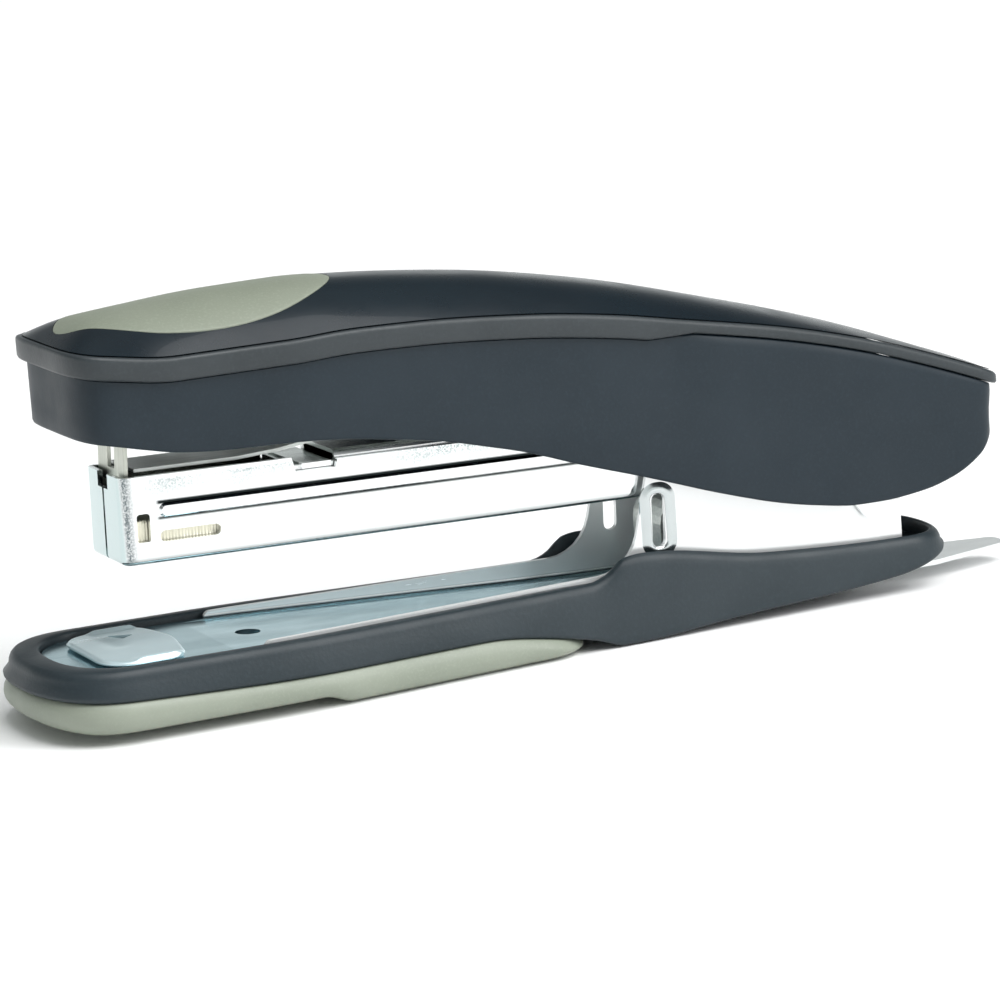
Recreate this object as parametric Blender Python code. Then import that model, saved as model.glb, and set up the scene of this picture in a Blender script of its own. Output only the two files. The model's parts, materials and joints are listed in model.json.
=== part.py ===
"""A desk stapler: base with anvil, hinged magazine, sliding pusher and padded handle.

The stapler's nose points to -X, its tail to +X, and it stands on Z = 0. Shapes are drawn in
stations: X counts back from the tip of the nose, and the whole assembly is then shifted so that
the middle of its footprint is the origin.
"""

import math

import bmesh
import bpy
from mathutils import Matrix, Vector

MM = 0.001

# ---------------------------------------------------------------- driving dimensions

CLEAR = 0.3 * MM  # between two pieces that only touch
RUN = 0.25 * MM  # radial play of a pin in its hole

# Stapling geometry
NOSE_LIP = 16.7 * MM  # nose of the base to the front of the magazine
REACH = 125.3 * MM  # front of the magazine to the pivot
PIVOT_HEIGHT = 29.0 * MM
TAIL_REACH = 16.0 * MM  # pivot to the end of the base
TONGUE_REACH = 14.0 * MM  # end of the base to the tip of the staple remover
STAPLE_CROWN = 12.7 * MM
STAPLE_LEG = 6.0 * MM
STAPLE_WIRE = 0.5 * MM
STRIP_LENGTH = 52.0 * MM
MAGAZINE_PITCH = math.radians(1.6)  # nose-up tilt of the magazine at rest

# Sheet metal
BRACKET_SHEET = 0.8 * MM
MAGAZINE_SHEET = 0.8 * MM
FRAME_SHEET = 0.9 * MM
RAIL_SHEET = 0.7 * MM
SPRING_SHEET = 0.5 * MM
BLADE_SHEET = 0.6 * MM

# Magazine
MAGAZINE_HEIGHT = 13.5 * MM
MAGAZINE_TAIL = 7.0 * MM  # magazine beyond the pivot
MAGAZINE_DROP = 8.4 * MM  # magazine's underside below the pivot
MAGAZINE_BEND = 1.5 * MM
STAPLE_PLAY = 0.35 * MM  # staple strip to the magazine's side

# Base
NOSE_HALF = 17.3 * MM  # half width of the rim at the nose
RIM_HEIGHT = 10.9 * MM
RIM_WIDTH = 3.2 * MM
REAR_RIM_WIDTH = 1.7 * MM
WAIST_PLAY = 1.6 * MM  # bracket to the inside of the rim in front of the walls
TAIL_PLAY = 0.7 * MM  # and at the tail
NOSE_RIM_WIDTH = 4.7 * MM
REAR_RIM_HEIGHT = 13.8 * MM
TAIL_RIM_HEIGHT = 8.7 * MM
DECK_FRONT_HEIGHT = 9.8 * MM
DECK_REAR_HEIGHT = 5.5 * MM
SOLE_REACH = 91.0 * MM  # nose to the rear end of the rubber sole
SOLE_THICKNESS = 5.0 * MM
SOLE_TREAD = 1.4 * MM  # how far the front of the sole stands clear of the table
TREAD_END = 43.0 * MM  # where that clear front part ends
DRAFT = 1.1 * MM  # how far the base's foot stands out beyond its rim

# Pivot
PIN_RADIUS = 2.0 * MM
LOBE_RADIUS = 6.4 * MM
WALL_SLOT = 8.6 * MM  # height of the slot in each wall of the bracket

# Anvil
ANVIL_REACH = 7.6 * MM  # half of the anvil plate along the stapler
ANVIL_HALF = 11.6 * MM
ANVIL_THICKNESS = 0.8 * MM
STUD_RADIUS = 3.0 * MM

# Handle
HANDLE_LIP = 8.2 * MM  # front of the handle ahead of the magazine
HANDLE_TAIL = 25.0 * MM  # pivot to the rear of the handle
HANDLE_HALF = 16.4 * MM
BAND_HEIGHT = 3.6 * MM
REAR_BAND_HEIGHT = 2.0 * MM
BAND_LIP = 1.0 * MM  # band's overhang past the skirt
SKIRT_WALL = 1.6 * MM
SKIRT_PLAY = 0.6 * MM  # steel frame to the inside of the skirt
COVER_WALL = 1.8 * MM
GRIP_LENGTH = 44.0 * MM
GRIP_HALF = 12.4 * MM
GRIP_THICKNESS = 1.0 * MM

# Driver
BLADE_SETBACK = 1.6 * MM  # magazine's front face to the blade
BLADE_ENTRY = 1.4 * MM  # how deep the blade stands in the magazine at rest
BLADE_LEAN = math.radians(3.6)
BLADE_HALF = 5.7 * MM

# staple remover and rivets
TONGUE_HOLD = 20.0 * MM  # length of the staple remover under the tail
TONGUE_HALF = 6.5 * MM
TONGUE_SHEET = 0.8 * MM
TONGUE_TOP = 3.1 * MM
RIVET_RADIUS = 1.5 * MM
RIVET_HEAD = 2.8 * MM
RIVET_DEPTH = 3.2 * MM
DRIVER_RIVET_RADIUS = 1.2 * MM
DRIVER_RIVET_HEAD = 2.0 * MM

# details of the magazine and its insides
RIB_RISE = 0.35 * MM  # how far the ribs stand out of the magazine's sides
RIB_HALF = 1.3 * MM
CLINCH_OFFSET = 3.2 * MM  # anvil's middle to each pair of grooves
RAIL_SLOT_HALF = 1.6 * MM
ROD_RADIUS = 0.8 * MM
PUSHER_LENGTH = 13.0 * MM
COIL_TURNS = 16
COIL_WIRE = 0.2 * MM

# ---------------------------------------------------------------- places worked out from them

MAGAZINE_FRONT = NOSE_LIP
PIVOT_X = MAGAZINE_FRONT + REACH
BASE_TAIL = PIVOT_X + TAIL_REACH
LENGTH = BASE_TAIL + TONGUE_REACH
PIVOT = Vector((PIVOT_X, 0, PIVOT_HEIGHT))

WALL_REAR = PIVOT_X + LOBE_RADIUS + 0.1 * MM
WALL_FRONT = PIVOT_X - 42.5 * MM
SHELL_FRONT = 1.0 * MM
DECK_FRONT = SHELL_FRONT + NOSE_RIM_WIDTH + CLEAR
DECK_SLOPE_FRONT = NOSE_LIP + 10.9 * MM
FLANGE_FRONT = NOSE_LIP + 19.2 * MM
RIM_STEP = WALL_FRONT - 2.0 * MM  # where the rim has risen to its rear height

MAGAZINE_HALF = 0.5 * STAPLE_CROWN + STAPLE_PLAY + MAGAZINE_SHEET
MAGAZINE_BOTTOM = PIVOT_HEIGHT - MAGAZINE_DROP
MAGAZINE_TOP = MAGAZINE_BOTTOM + MAGAZINE_HEIGHT
MAGAZINE_REAR = PIVOT_X + MAGAZINE_TAIL
CHAMBER_REAR = MAGAZINE_FRONT + BLADE_SETBACK + BLADE_SHEET + 0.5 * MM

BRACKET_HALF = MAGAZINE_HALF + 2 * CLEAR + 0.3 * MM + BRACKET_SHEET
FRAME_HALF = BRACKET_HALF + CLEAR + FRAME_SHEET
WAIST_HALF = BRACKET_HALF + WAIST_PLAY + REAR_RIM_WIDTH  # half width of the rim before the walls
TAIL_HALF = BRACKET_HALF + TAIL_PLAY + REAR_RIM_WIDTH
HANDLE_REAR_HALF = FRAME_HALF + SKIRT_PLAY + SKIRT_WALL + BAND_LIP

FLOOR_TOP = MAGAZINE_BOTTOM + MAGAZINE_SHEET
STRIP_TOP = FLOOR_TOP + 0.2 * MM + STAPLE_LEG - 0.2 * MM
RAIL_TOP = STRIP_TOP - STAPLE_WIRE - 0.2 * MM
RAIL_HALF = 0.5 * STAPLE_CROWN - STAPLE_WIRE - CLEAR
RAIL_BOTTOM = FLOOR_TOP + CLEAR
STRIP_FRONT = CHAMBER_REAR
RAIL_FRONT = STRIP_FRONT + 0.3 * MM
RAIL_REAR = PIVOT_X - 12.0 * MM
STOP_REAR = RAIL_REAR + 4.0 * MM
PUSHER_FRONT = STRIP_FRONT + STRIP_LENGTH + CLEAR
PUSHER_REAR = PUSHER_FRONT + PUSHER_LENGTH
ROD_HEIGHT = RAIL_BOTTOM + 2.35 * MM
COVER_FRONT = MAGAZINE_FRONT + 28.4 * MM
NOTCH_FRONT = MAGAZINE_FRONT + 27.8 * MM
NOTCH_REAR = NOTCH_FRONT + 7.2 * MM

ANVIL_X = MAGAZINE_FRONT + BLADE_SETBACK + 0.5 * BLADE_SHEET
ANVIL_TOP = DECK_FRONT_HEIGHT + CLEAR + ANVIL_THICKNESS

TONGUE_ROOT = BASE_TAIL - TONGUE_HOLD
TONGUE_RIVET = TONGUE_ROOT + 5 * MM
REMOVER_RIVET_TOP = TONGUE_TOP + 0.6 * MM
RIVET_STATIONS = (WALL_FRONT + 25 * MM, WALL_FRONT + 35 * MM)

RIB_LINE = MAGAZINE_BOTTOM + 8.3 * MM
COIL_RADIUS = ROD_RADIUS + CLEAR + COIL_WIRE + 0.1 * MM

HANDLE_FRONT = MAGAZINE_FRONT - HANDLE_LIP
HANDLE_REAR = PIVOT_X + HANDLE_TAIL
DRIVER_RIVETS = (MAGAZINE_FRONT + 12 * MM, MAGAZINE_FRONT + 18 * MM)


# ---------------------------------------------------------------- formulas

def blend_line(knots):
    """A smooth line through (x, value) knots that never swings past them, level beyond its ends."""
    xs = [x for x, _ in knots]
    vs = [v for _, v in knots]
    spans = [b - a for a, b in zip(xs, xs[1:])]
    slopes = [(vs[i + 1] - vs[i]) / spans[i] for i in range(len(spans))]
    tangents = [slopes[0]]
    for before, after, s0, s1 in zip(slopes, slopes[1:], spans, spans[1:]):
        if before * after <= 0:
            tangents.append(0.0)
        else:
            w0 = 2 * s1 + s0
            w1 = s1 + 2 * s0
            tangents.append((w0 + w1) / (w0 / before + w1 / after))
    tangents.append(slopes[-1])

    def value(x):
        if x <= xs[0]:
            return vs[0]
        if x >= xs[-1]:
            return vs[-1]
        i = max(k for k in range(len(spans)) if xs[k] <= x)
        t = (x - xs[i]) / spans[i]
        return (
            vs[i] * (1 + 2 * t) * (1 - t) ** 2
            + spans[i] * tangents[i] * t * (1 - t) ** 2
            + vs[i + 1] * t * t * (3 - 2 * t)
            + spans[i] * tangents[i + 1] * t * t * (t - 1)
        )

    return value


rim_half = blend_line([
    (NOSE_LIP, NOSE_HALF),
    (2 * NOSE_LIP, NOSE_HALF),
    (0.66 * WALL_FRONT, 0.5 * (NOSE_HALF + WAIST_HALF)),
    (WALL_FRONT - 5 * MM, WAIST_HALF),
    (WALL_REAR, TAIL_HALF),
])
rim_width = blend_line([(WALL_FRONT - 14 * MM, RIM_WIDTH), (WALL_FRONT - 1 * MM, REAR_RIM_WIDTH)])
rim_top = blend_line([
    (0, RIM_HEIGHT),
    (RIM_STEP - 6 * MM, RIM_HEIGHT - 0.6 * MM),
    (RIM_STEP - 3.4 * MM, RIM_HEIGHT + 0.2 * MM),
    (RIM_STEP, REAR_RIM_HEIGHT - 0.3 * MM),
    (RIM_STEP + 2.5 * MM, REAR_RIM_HEIGHT),
    (0.5 * (RIM_STEP + WALL_REAR), 0.5 * (REAR_RIM_HEIGHT + TAIL_RIM_HEIGHT) - 0.9 * MM),
    (WALL_REAR - 4 * MM, TAIL_RIM_HEIGHT + 0.3 * MM),
    (BASE_TAIL, TAIL_RIM_HEIGHT),
])
foot = blend_line([
    (0, SOLE_TREAD + 1.0 * MM),
    (8 * MM, SOLE_TREAD),
    (TREAD_END, SOLE_TREAD),
    (TREAD_END + 5 * MM, 0),
    (WALL_FRONT, 0),
    (WALL_FRONT + 14 * MM, 0.9 * MM),
    (WALL_REAR - 2 * MM, 2.9 * MM),
    (BASE_TAIL - 4 * MM, 4.6 * MM),
    (BASE_TAIL, 5.6 * MM),
])
shell_bottom = blend_line([
    (0, SOLE_THICKNESS + 1.9 * MM),
    (11 * MM, SOLE_THICKNESS + 1.2 * MM),
    (TREAD_END + 5 * MM, SOLE_THICKNESS),
    (SOLE_REACH - 20 * MM, SOLE_THICKNESS - 0.1 * MM),
    (SOLE_REACH - 5 * MM, 0.54 * SOLE_THICKNESS),
    (SOLE_REACH, 0.3 * SOLE_THICKNESS),
    (SOLE_REACH + 5 * MM, foot(SOLE_REACH + 5 * MM)),
    (WALL_FRONT, 0),
    (WALL_FRONT + 14 * MM, 0.9 * MM),
    (WALL_REAR - 2 * MM, 2.9 * MM),
    (BASE_TAIL - 4 * MM, 4.6 * MM),
    (BASE_TAIL, 5.6 * MM),
])
draft = blend_line([(0, DRAFT), (WALL_FRONT, DRAFT), (WALL_REAR, 0.4 * DRAFT)])


def deck_top(x):
    t = (x - DECK_SLOPE_FRONT) / (WALL_REAR - DECK_SLOPE_FRONT)
    return DECK_FRONT_HEIGHT + (DECK_REAR_HEIGHT - DECK_FRONT_HEIGHT) * min(1, max(0, t))


def bracket_half(x):
    """Half width over the bracket's walls: it narrows with the base, and runs parallel at the rear."""
    front = NOSE_HALF - RIM_WIDTH - 0.7 * MM
    t = (x - 2.2 * NOSE_LIP) / (WALL_FRONT - 5 * MM - 2.2 * NOSE_LIP)
    return front + (BRACKET_HALF - front) * min(1, max(0, t))


band_half = blend_line([
    (HANDLE_FRONT + 10 * MM, HANDLE_HALF - 0.4 * MM),
    (HANDLE_FRONT + 38 * MM, HANDLE_HALF),
    (PIVOT_X - 55 * MM, HANDLE_HALF - 0.8 * MM),
    (PIVOT_X - 20 * MM, HANDLE_REAR_HALF + 0.6 * MM),
    (PIVOT_X + 5 * MM, HANDLE_REAR_HALF),
])


def handle_line(knots):
    """A smooth line along the handle: (percent of its length, mm above the magazine's level top)."""
    span = HANDLE_REAR - HANDLE_FRONT
    return blend_line([(HANDLE_FRONT + 0.01 * p * span, MAGAZINE_TOP + v * MM) for p, v in knots])


band_top = handle_line([
    (0, 24.3), (3.5, 23.4), (10.4, 22.0), (21.8, 22.0), (27.4, 22.3), (34.4, 22.0), (46.4, 20.5),
    (55.8, 18.4), (62.8, 16.2), (74.8, 12.3), (83.6, 8.6), (92.4, 3.8), (100, -0.9),
])
crown_top = handle_line([
    (0, 26.2), (3.5, 27.0), (8.5, 27.9), (18, 28.9), (25, 29.0), (30.6, 28.5), (43.2, 26.4),
    (56.5, 22.5), (71, 16.3), (83, 10.4), (94.3, 3.5), (100, -0.1),
])
skirt_bottom = handle_line([
    (1, 10.6), (3.5, 9.9), (6.6, 8.7), (9.8, 7.6), (14.2, 6.9), (21.8, 6.4), (26.2, 5.8),
    (32, 4.4), (37, 2.9), (41.3, 1.1), (45.1, -0.6), (51.4, -4.2), (58.4, -7.9), (67.2, -12.8),
    (73.5, -15.8), (77.9, -17.3), (82.3, -18.3), (85.5, -18.4), (90, -17.8), (93.7, -16.3),
    (96.8, -13.5), (98.7, -10.1), (100, -7.1),
])
band_middle = HANDLE_FRONT + 0.62 * (HANDLE_REAR - HANDLE_FRONT)
band_height = blend_line([
    (band_middle - 4 * MM, BAND_HEIGHT),
    (band_middle + 4 * MM, REAR_BAND_HEIGHT),
])


def band_bottom(x):
    """Underside of the band, which thins behind the middle of the handle."""
    return band_top(x) - band_height(x)


# ---------------------------------------------------------------- scene and helpers

for old in list(bpy.data.objects):
    bpy.data.objects.remove(old, do_unlink=True)

PARTS = bpy.data.collections.new("stapler")
CUTTERS = bpy.data.collections.new("cutters")
bpy.context.scene.collection.children.link(PARTS)
bpy.context.scene.collection.children.link(CUTTERS)


def pivot_empty(name, place, parent=None, pitch=0.0):
    """An empty that carries one body. Its children are drawn in stations, round this point."""
    empty = bpy.data.objects.new(name, None)
    empty.empty_display_size = 5 * MM
    PARTS.objects.link(empty)
    empty["station"] = list(place)
    empty.location = place
    if parent is not None:
        empty.parent = parent
        empty.location = Vector(place) - Vector(parent["station"])
    empty.rotation_euler = (0, pitch, 0)
    return empty


def finish(name, mesh, body, finish_material, smooth=40):
    """Puts a mesh in the scene as one piece of a body."""
    obj = bpy.data.objects.new(name, mesh)
    PARTS.objects.link(obj)
    obj.parent = body
    obj.location = -Vector(body["station"])
    mesh.shade_smooth()
    mesh.set_sharp_from_angle(angle=math.radians(smooth))
    mesh.materials.append(finish_material)
    return obj


def settle(bm):
    """Merges doubled points and turns every face out."""
    bmesh.ops.remove_doubles(bm, verts=bm.verts, dist=1e-7)
    bmesh.ops.recalc_face_normals(bm, faces=bm.faces)


def mesh_from(name, make):
    """A mesh from a function that fills a bmesh."""
    bm = bmesh.new()
    make(bm)
    settle(bm)
    mesh = bpy.data.meshes.new(name)
    bm.to_mesh(mesh)
    bm.free()
    return mesh


def round_corners(points, steps=4):
    """An outline from (u, v, radius) corners, each rounded to its radius."""
    outline = []
    for i, (u, v, radius) in enumerate(points):
        here = Vector((u, v))
        if radius <= 0:
            outline.append(here)
            continue
        back = Vector(points[i - 1][:2]) - here
        ahead = Vector(points[(i + 1) % len(points)][:2]) - here
        half = 0.5 * back.angle(ahead)
        reach = min(radius / math.tan(half), 0.49 * back.length, 0.49 * ahead.length)
        centre = here + (back.normalized() + ahead.normalized()).normalized() * (
            reach / math.cos(half)
        )
        start = here + back.normalized() * reach - centre
        end = here + ahead.normalized() * reach - centre
        sweep = math.atan2(start.x * end.y - start.y * end.x, start.dot(end))
        for k in range(steps + 1):
            angle = sweep * k / steps
            outline.append(centre + Vector((
                start.x * math.cos(angle) - start.y * math.sin(angle),
                start.x * math.sin(angle) + start.y * math.cos(angle),
            )))
    return outline


def circle(u, v, radius, count=16):
    """The outline of a round hole or disc."""
    angles = [2 * math.pi * k / count for k in range(count)]
    return [Vector((u + radius * math.cos(a), v + radius * math.sin(a))) for a in angles]


def stadium(u0, u1, v, half, steps=5):
    """The outline of a slot with round ends, from u0 to u1 along v."""
    turn = [math.pi * (k / steps - 0.5) for k in range(steps + 1)]
    right = [Vector((u1 - half + half * math.cos(a), v + half * math.sin(a))) for a in turn]
    left = [Vector((u0 + half - half * math.cos(a), v - half * math.sin(a))) for a in turn]
    return right + left


TURNS = {
    "XY": Matrix.Identity(4),
    "XZ": Matrix.Rotation(math.radians(90), 4, "X"),
    "YZ": Matrix.Rotation(math.radians(90), 4, "Z") @ Matrix.Rotation(math.radians(90), 4, "X"),
}


def plate_mesh(name, loops, low, high, plane):
    """A flat outline with holes in plane XY, XZ or YZ, thickened from low to high across it."""
    curve = bpy.data.curves.new(name, "CURVE")
    curve.dimensions = "2D"
    curve.fill_mode = "BOTH"
    curve.extrude = 0.5 * (high - low)
    for loop in loops:
        spline = curve.splines.new("POLY")
        spline.points.add(len(loop) - 1)
        for point, place in zip(spline.points, loop):
            point.co = (place[0], place[1], 0, 1)
        spline.use_cyclic_u = True
    flat = bpy.data.objects.new(name, curve)
    CUTTERS.objects.link(flat)
    bpy.context.view_layer.update()
    graph = bpy.context.evaluated_depsgraph_get()
    mesh = bpy.data.meshes.new_from_object(flat.evaluated_get(graph))
    bpy.data.objects.remove(flat, do_unlink=True)
    middle = 0.5 * (low + high)
    shift = {"XY": (0, 0, middle), "XZ": (0, middle, 0), "YZ": (middle, 0, 0)}[plane]
    bm = bmesh.new()
    bm.from_mesh(mesh)
    bmesh.ops.transform(bm, matrix=Matrix.Translation(shift) @ TURNS[plane], verts=bm.verts)
    settle(bm)
    bm.to_mesh(mesh)
    bm.free()
    return mesh


def block_mesh(name, low, high, bevel=0.0, edges=None, segments=3):
    """A block between two corners, with the edges that edges(a, b) picks rounded."""

    def make(bm):
        bmesh.ops.create_cube(bm, size=1.0)
        for vert in bm.verts:
            vert.co = [lo + (c + 0.5) * (hi - lo) for c, lo, hi in zip(vert.co, low, high)]
        if bevel:
            chosen = [e for e in bm.edges if edges is None or edges(e.verts[0].co, e.verts[1].co)]
            bmesh.ops.bevel(
                bm, geom=chosen, offset=bevel, segments=segments, profile=0.5, affect="EDGES"
            )

    return mesh_from(name, make)


AXES = {
    "Z": Matrix.Identity(4),
    "X": Matrix.Rotation(math.radians(90), 4, "Y"),
    "Y": Matrix.Rotation(math.radians(-90), 4, "X"),
}


def turned_mesh(name, profile, axis, place, sides=16):
    """A turned piece from (distance along the axis, radius) stations, closed at both ends."""

    def make(bm):
        rings = [
            [bm.verts.new((p.x, p.y, along)) for p in circle(0, 0, radius, sides)]
            for along, radius in profile
        ]
        for below, above in zip(rings, rings[1:]):
            for k in range(sides):
                j = (k + 1) % sides
                bm.faces.new((below[k], below[j], above[j], above[k]))
        bm.faces.new(rings[0][::-1])
        bm.faces.new(rings[-1])
        bmesh.ops.transform(bm, matrix=Matrix.Translation(place) @ AXES[axis], verts=bm.verts)

    return mesh_from(name, make)


def strip_outline(line, thickness):
    """The edge-on outline of a bent strip of sheet that follows a line of points."""
    above = []
    below = []
    for i, point in enumerate(line):
        before = line[max(0, i - 1)]
        after = line[min(len(line) - 1, i + 1)]
        along = (Vector(after) - Vector(before)).normalized()
        across = Vector((-along.y, along.x)) * 0.5 * thickness
        above.append(Vector(point) + across)
        below.append(Vector(point) - across)
    return above + below[::-1]


def add_boolean(obj, mesh, operation="DIFFERENCE"):
    """Cuts, joins or intersects a piece with a mesh that is drawn in the same stations. Cuts that
    follow each other are made together."""
    tool = bpy.data.objects.new(obj.name + "_tool", mesh)
    tool.parent = obj.parent
    tool.location = obj.location
    tool.hide_render = True
    tool.display_type = "WIRE"
    boolean = obj.modifiers[-1] if obj.modifiers else None
    if boolean is None or boolean.operation != operation or operation == "INTERSECT":
        tools = bpy.data.collections.new(f"{obj.name}_{operation.lower()}_{len(obj.modifiers)}")
        CUTTERS.children.link(tools)
        boolean = obj.modifiers.new(operation.lower(), "BOOLEAN")
        boolean.operation = operation
        boolean.solver = "EXACT"
        boolean.operand_type = "COLLECTION"
        boolean.collection = tools
    boolean.collection.objects.link(tool)
    return obj


class Plan:
    """A long plan outline with round ends: its end stations, their rounding and its half width."""

    def __init__(self, front, rear, front_round, rear_round, half, power=2.4):
        self.front = front
        self.rear = rear
        self.front_round = front_round
        self.rear_round = rear_round
        self.half = half
        self.power = power

    def inset(self, side, ends=None):
        """The outline moved in by side, which may change along it, and by ends at its two ends."""
        side_at = side if callable(side) else (lambda x: side)
        ends = side if ends is None else ends
        front, rear = ends if isinstance(ends, tuple) else (ends, ends)
        return Plan(
            self.front + front,
            self.rear - rear,
            max(self.front_round - 0.5 * front, 1 * MM),
            max(self.rear_round - 0.5 * rear, 1 * MM),
            lambda x: self.half(x) - side_at(x),
            self.power,
        )

    def scaled(self, share, ends):
        """The outline narrowed to a share of its width, with its ends moved in."""
        return Plan(
            self.front + ends,
            self.rear - ends,
            max(self.front_round * share, 1 * MM),
            max(self.rear_round * share, 1 * MM),
            lambda x: self.half(x) * share,
            self.power,
        )

    def points(self, round_steps=8, length_steps=20):
        """(x, half width) from the front tip to the rear tip."""
        quarter = [0.5 * math.pi * k / round_steps for k in range(round_steps)]
        front_x = [self.front + self.front_round * (1 - math.cos(a)) for a in quarter]
        rear_x = [self.rear - self.rear_round * (1 - math.cos(a)) for a in quarter[::-1]]
        low = self.front + self.front_round
        high = self.rear - self.rear_round
        middle = [low + (high - low) * k / length_steps for k in range(length_steps + 1)]
        return [(x, self.half(x) * self.end_share(x)) for x in front_x + middle + rear_x]

    def end_share(self, x):
        share = 1.0
        for depth, rounding in (
            (x - self.front, self.front_round),
            (self.rear - x, self.rear_round),
        ):
            u = min(1.0, max(0.0, 1 - depth / rounding))
            share *= (1 - u**self.power) ** (1 / self.power)
        return share


def ring(plan, height, **steps):
    return [(x, w, height(x)) for x, w in plan.points(**steps)]


def ring_loft(bm, rings, closed=False):
    """Skins rings of (x, half width, z), each running from the front tip to the rear tip on both
    sides. The first and last rings are capped, or joined to each other where the loft is closed."""
    loops = []
    for points in rings:
        right = [bm.verts.new((x, -w, z)) for x, w, z in points]
        left = [bm.verts.new((x, w, z)) for x, w, z in points[1:-1]]
        loops.append(right + left[::-1])
    count = len(loops[0])
    pairs = list(zip(loops, loops[1:]))
    if closed:
        pairs.append((loops[-1], loops[0]))
    for lower, upper in pairs:
        for k in range(count):
            j = (k + 1) % count
            bm.faces.new((lower[k], lower[j], upper[j], upper[k]))
    if closed:
        return
    half = len(rings[0])
    for loop in (loops[0], loops[-1]):
        bm.faces.new((loop[0], loop[1], loop[-1]))
        for k in range(1, half - 2):
            bm.faces.new((loop[k], loop[k + 1], loop[-k - 1], loop[-k]))
        bm.faces.new((loop[half - 2], loop[half - 1], loop[half]))


def ring_mesh(name, rings, closed=False):
    return mesh_from(name, lambda bm: ring_loft(bm, rings, closed))


def section_mesh(name, stations, section):
    """Skins one closed cross-section, section(x) as (y, z) points, along the stations."""

    def make(bm):
        loops = [[bm.verts.new((x, y, z)) for y, z in section(x)] for x in stations]
        count = len(loops[0])
        for lower, upper in zip(loops, loops[1:]):
            for k in range(count):
                j = (k + 1) % count
                bm.faces.new((lower[k], lower[j], upper[j], upper[k]))
        bm.faces.new(loops[0][::-1])
        bm.faces.new(loops[-1])

    return mesh_from(name, make)


def channel_section(half, web, edge, sheet, bend, steps=3):
    """A U of sheet: its web's outer face at height web, its two walls running up or down to edge."""
    way = 1 if edge > web else -1
    inner = max(bend - sheet, 0.25 * sheet)
    quarter = [0.5 * math.pi * k / steps for k in range(steps + 1)]
    base_z = web + way * sheet
    outer = [(half - bend + bend * math.sin(a), web + way * bend * (1 - math.cos(a))) for a in quarter]
    inside = half - sheet - inner
    inner_arc = [
        (inside + inner * math.sin(a), base_z + way * inner * (1 - math.cos(a))) for a in quarter
    ]
    one_side = outer + [(half, edge), (half - sheet, edge)] + inner_arc[::-1]
    return one_side + [(-y, z) for y, z in one_side[::-1]]


def stations_between(low, high, count):
    return [low + (high - low) * k / count for k in range(count + 1)]


def material(name, colour, roughness, metallic=0.0):
    made = bpy.data.materials.new(name)
    made.use_nodes = True
    shader = made.node_tree.nodes["Principled BSDF"]
    shader.inputs["Base Color"].default_value = (*colour, 1)
    shader.inputs["Roughness"].default_value = roughness
    shader.inputs["Metallic"].default_value = metallic
    return made


CHARCOAL = material("charcoal_plastic", (0.035, 0.04, 0.045), 0.55)
SATIN = material("satin_plastic", (0.012, 0.016, 0.024), 0.35)
GRIP = material("grip_rubber", (0.42, 0.4, 0.33), 0.6)
SOLE = material("sole_rubber", (0.44, 0.44, 0.37), 0.7)
CHROME = material("chrome", (0.85, 0.87, 0.88), 0.12, 1.0)
DECK = material("plated_deck", (0.6, 0.68, 0.74), 0.25, 1.0)
STEEL = material("spring_steel", (0.45, 0.45, 0.42), 0.35, 1.0)
ZINC = material("staple_wire", (0.75, 0.72, 0.6), 0.4, 1.0)
PUSHER_PLASTIC = material("pusher_plastic", (0.02, 0.02, 0.02), 0.4)


# ---------------------------------------------------------------- bodies

base = pivot_empty("base_frame", (0, 0, 0))
base.location.x = -0.5 * LENGTH
magazine = pivot_empty("magazine_pivot", PIVOT, base, MAGAZINE_PITCH)
pusher = pivot_empty("pusher_slide", (PUSHER_FRONT, 0, RAIL_TOP), magazine)
handle = pivot_empty("handle_pivot", PIVOT, base)
stud = pivot_empty("anvil_lift", (ANVIL_X, 0, 0), base)
anvil = pivot_empty("anvil_turn", (ANVIL_X, 0, ANVIL_TOP), stud)


# ---------------------------------------------------------------- base

def shell_floor(x):
    """The inside floor of the base, just under the deck, and following the underside at the tail."""
    return max(deck_top(x) - BRACKET_SHEET - CLEAR, shell_bottom(x) + 1.2 * MM)


def upright(name, x, y, low, high, radius, sides=16):
    return turned_mesh(name, [(low, radius), (high, radius)], "Z", (x, y, 0), sides)


def crosswise_hole(name, x, z, radius, reach=40 * MM):
    return turned_mesh(name, [(-reach, radius), (reach, radius)], "Y", (x, 0, z), 20)


def base_plan():
    """The outline over the base's rim."""
    return Plan(SHELL_FRONT, BASE_TAIL, 13 * MM, 9 * MM, rim_half)


def rim_inside():
    """The outline within the base's rim."""
    return base_plan().inset(rim_width, (NOSE_RIM_WIDTH, REAR_RIM_WIDTH))


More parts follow.
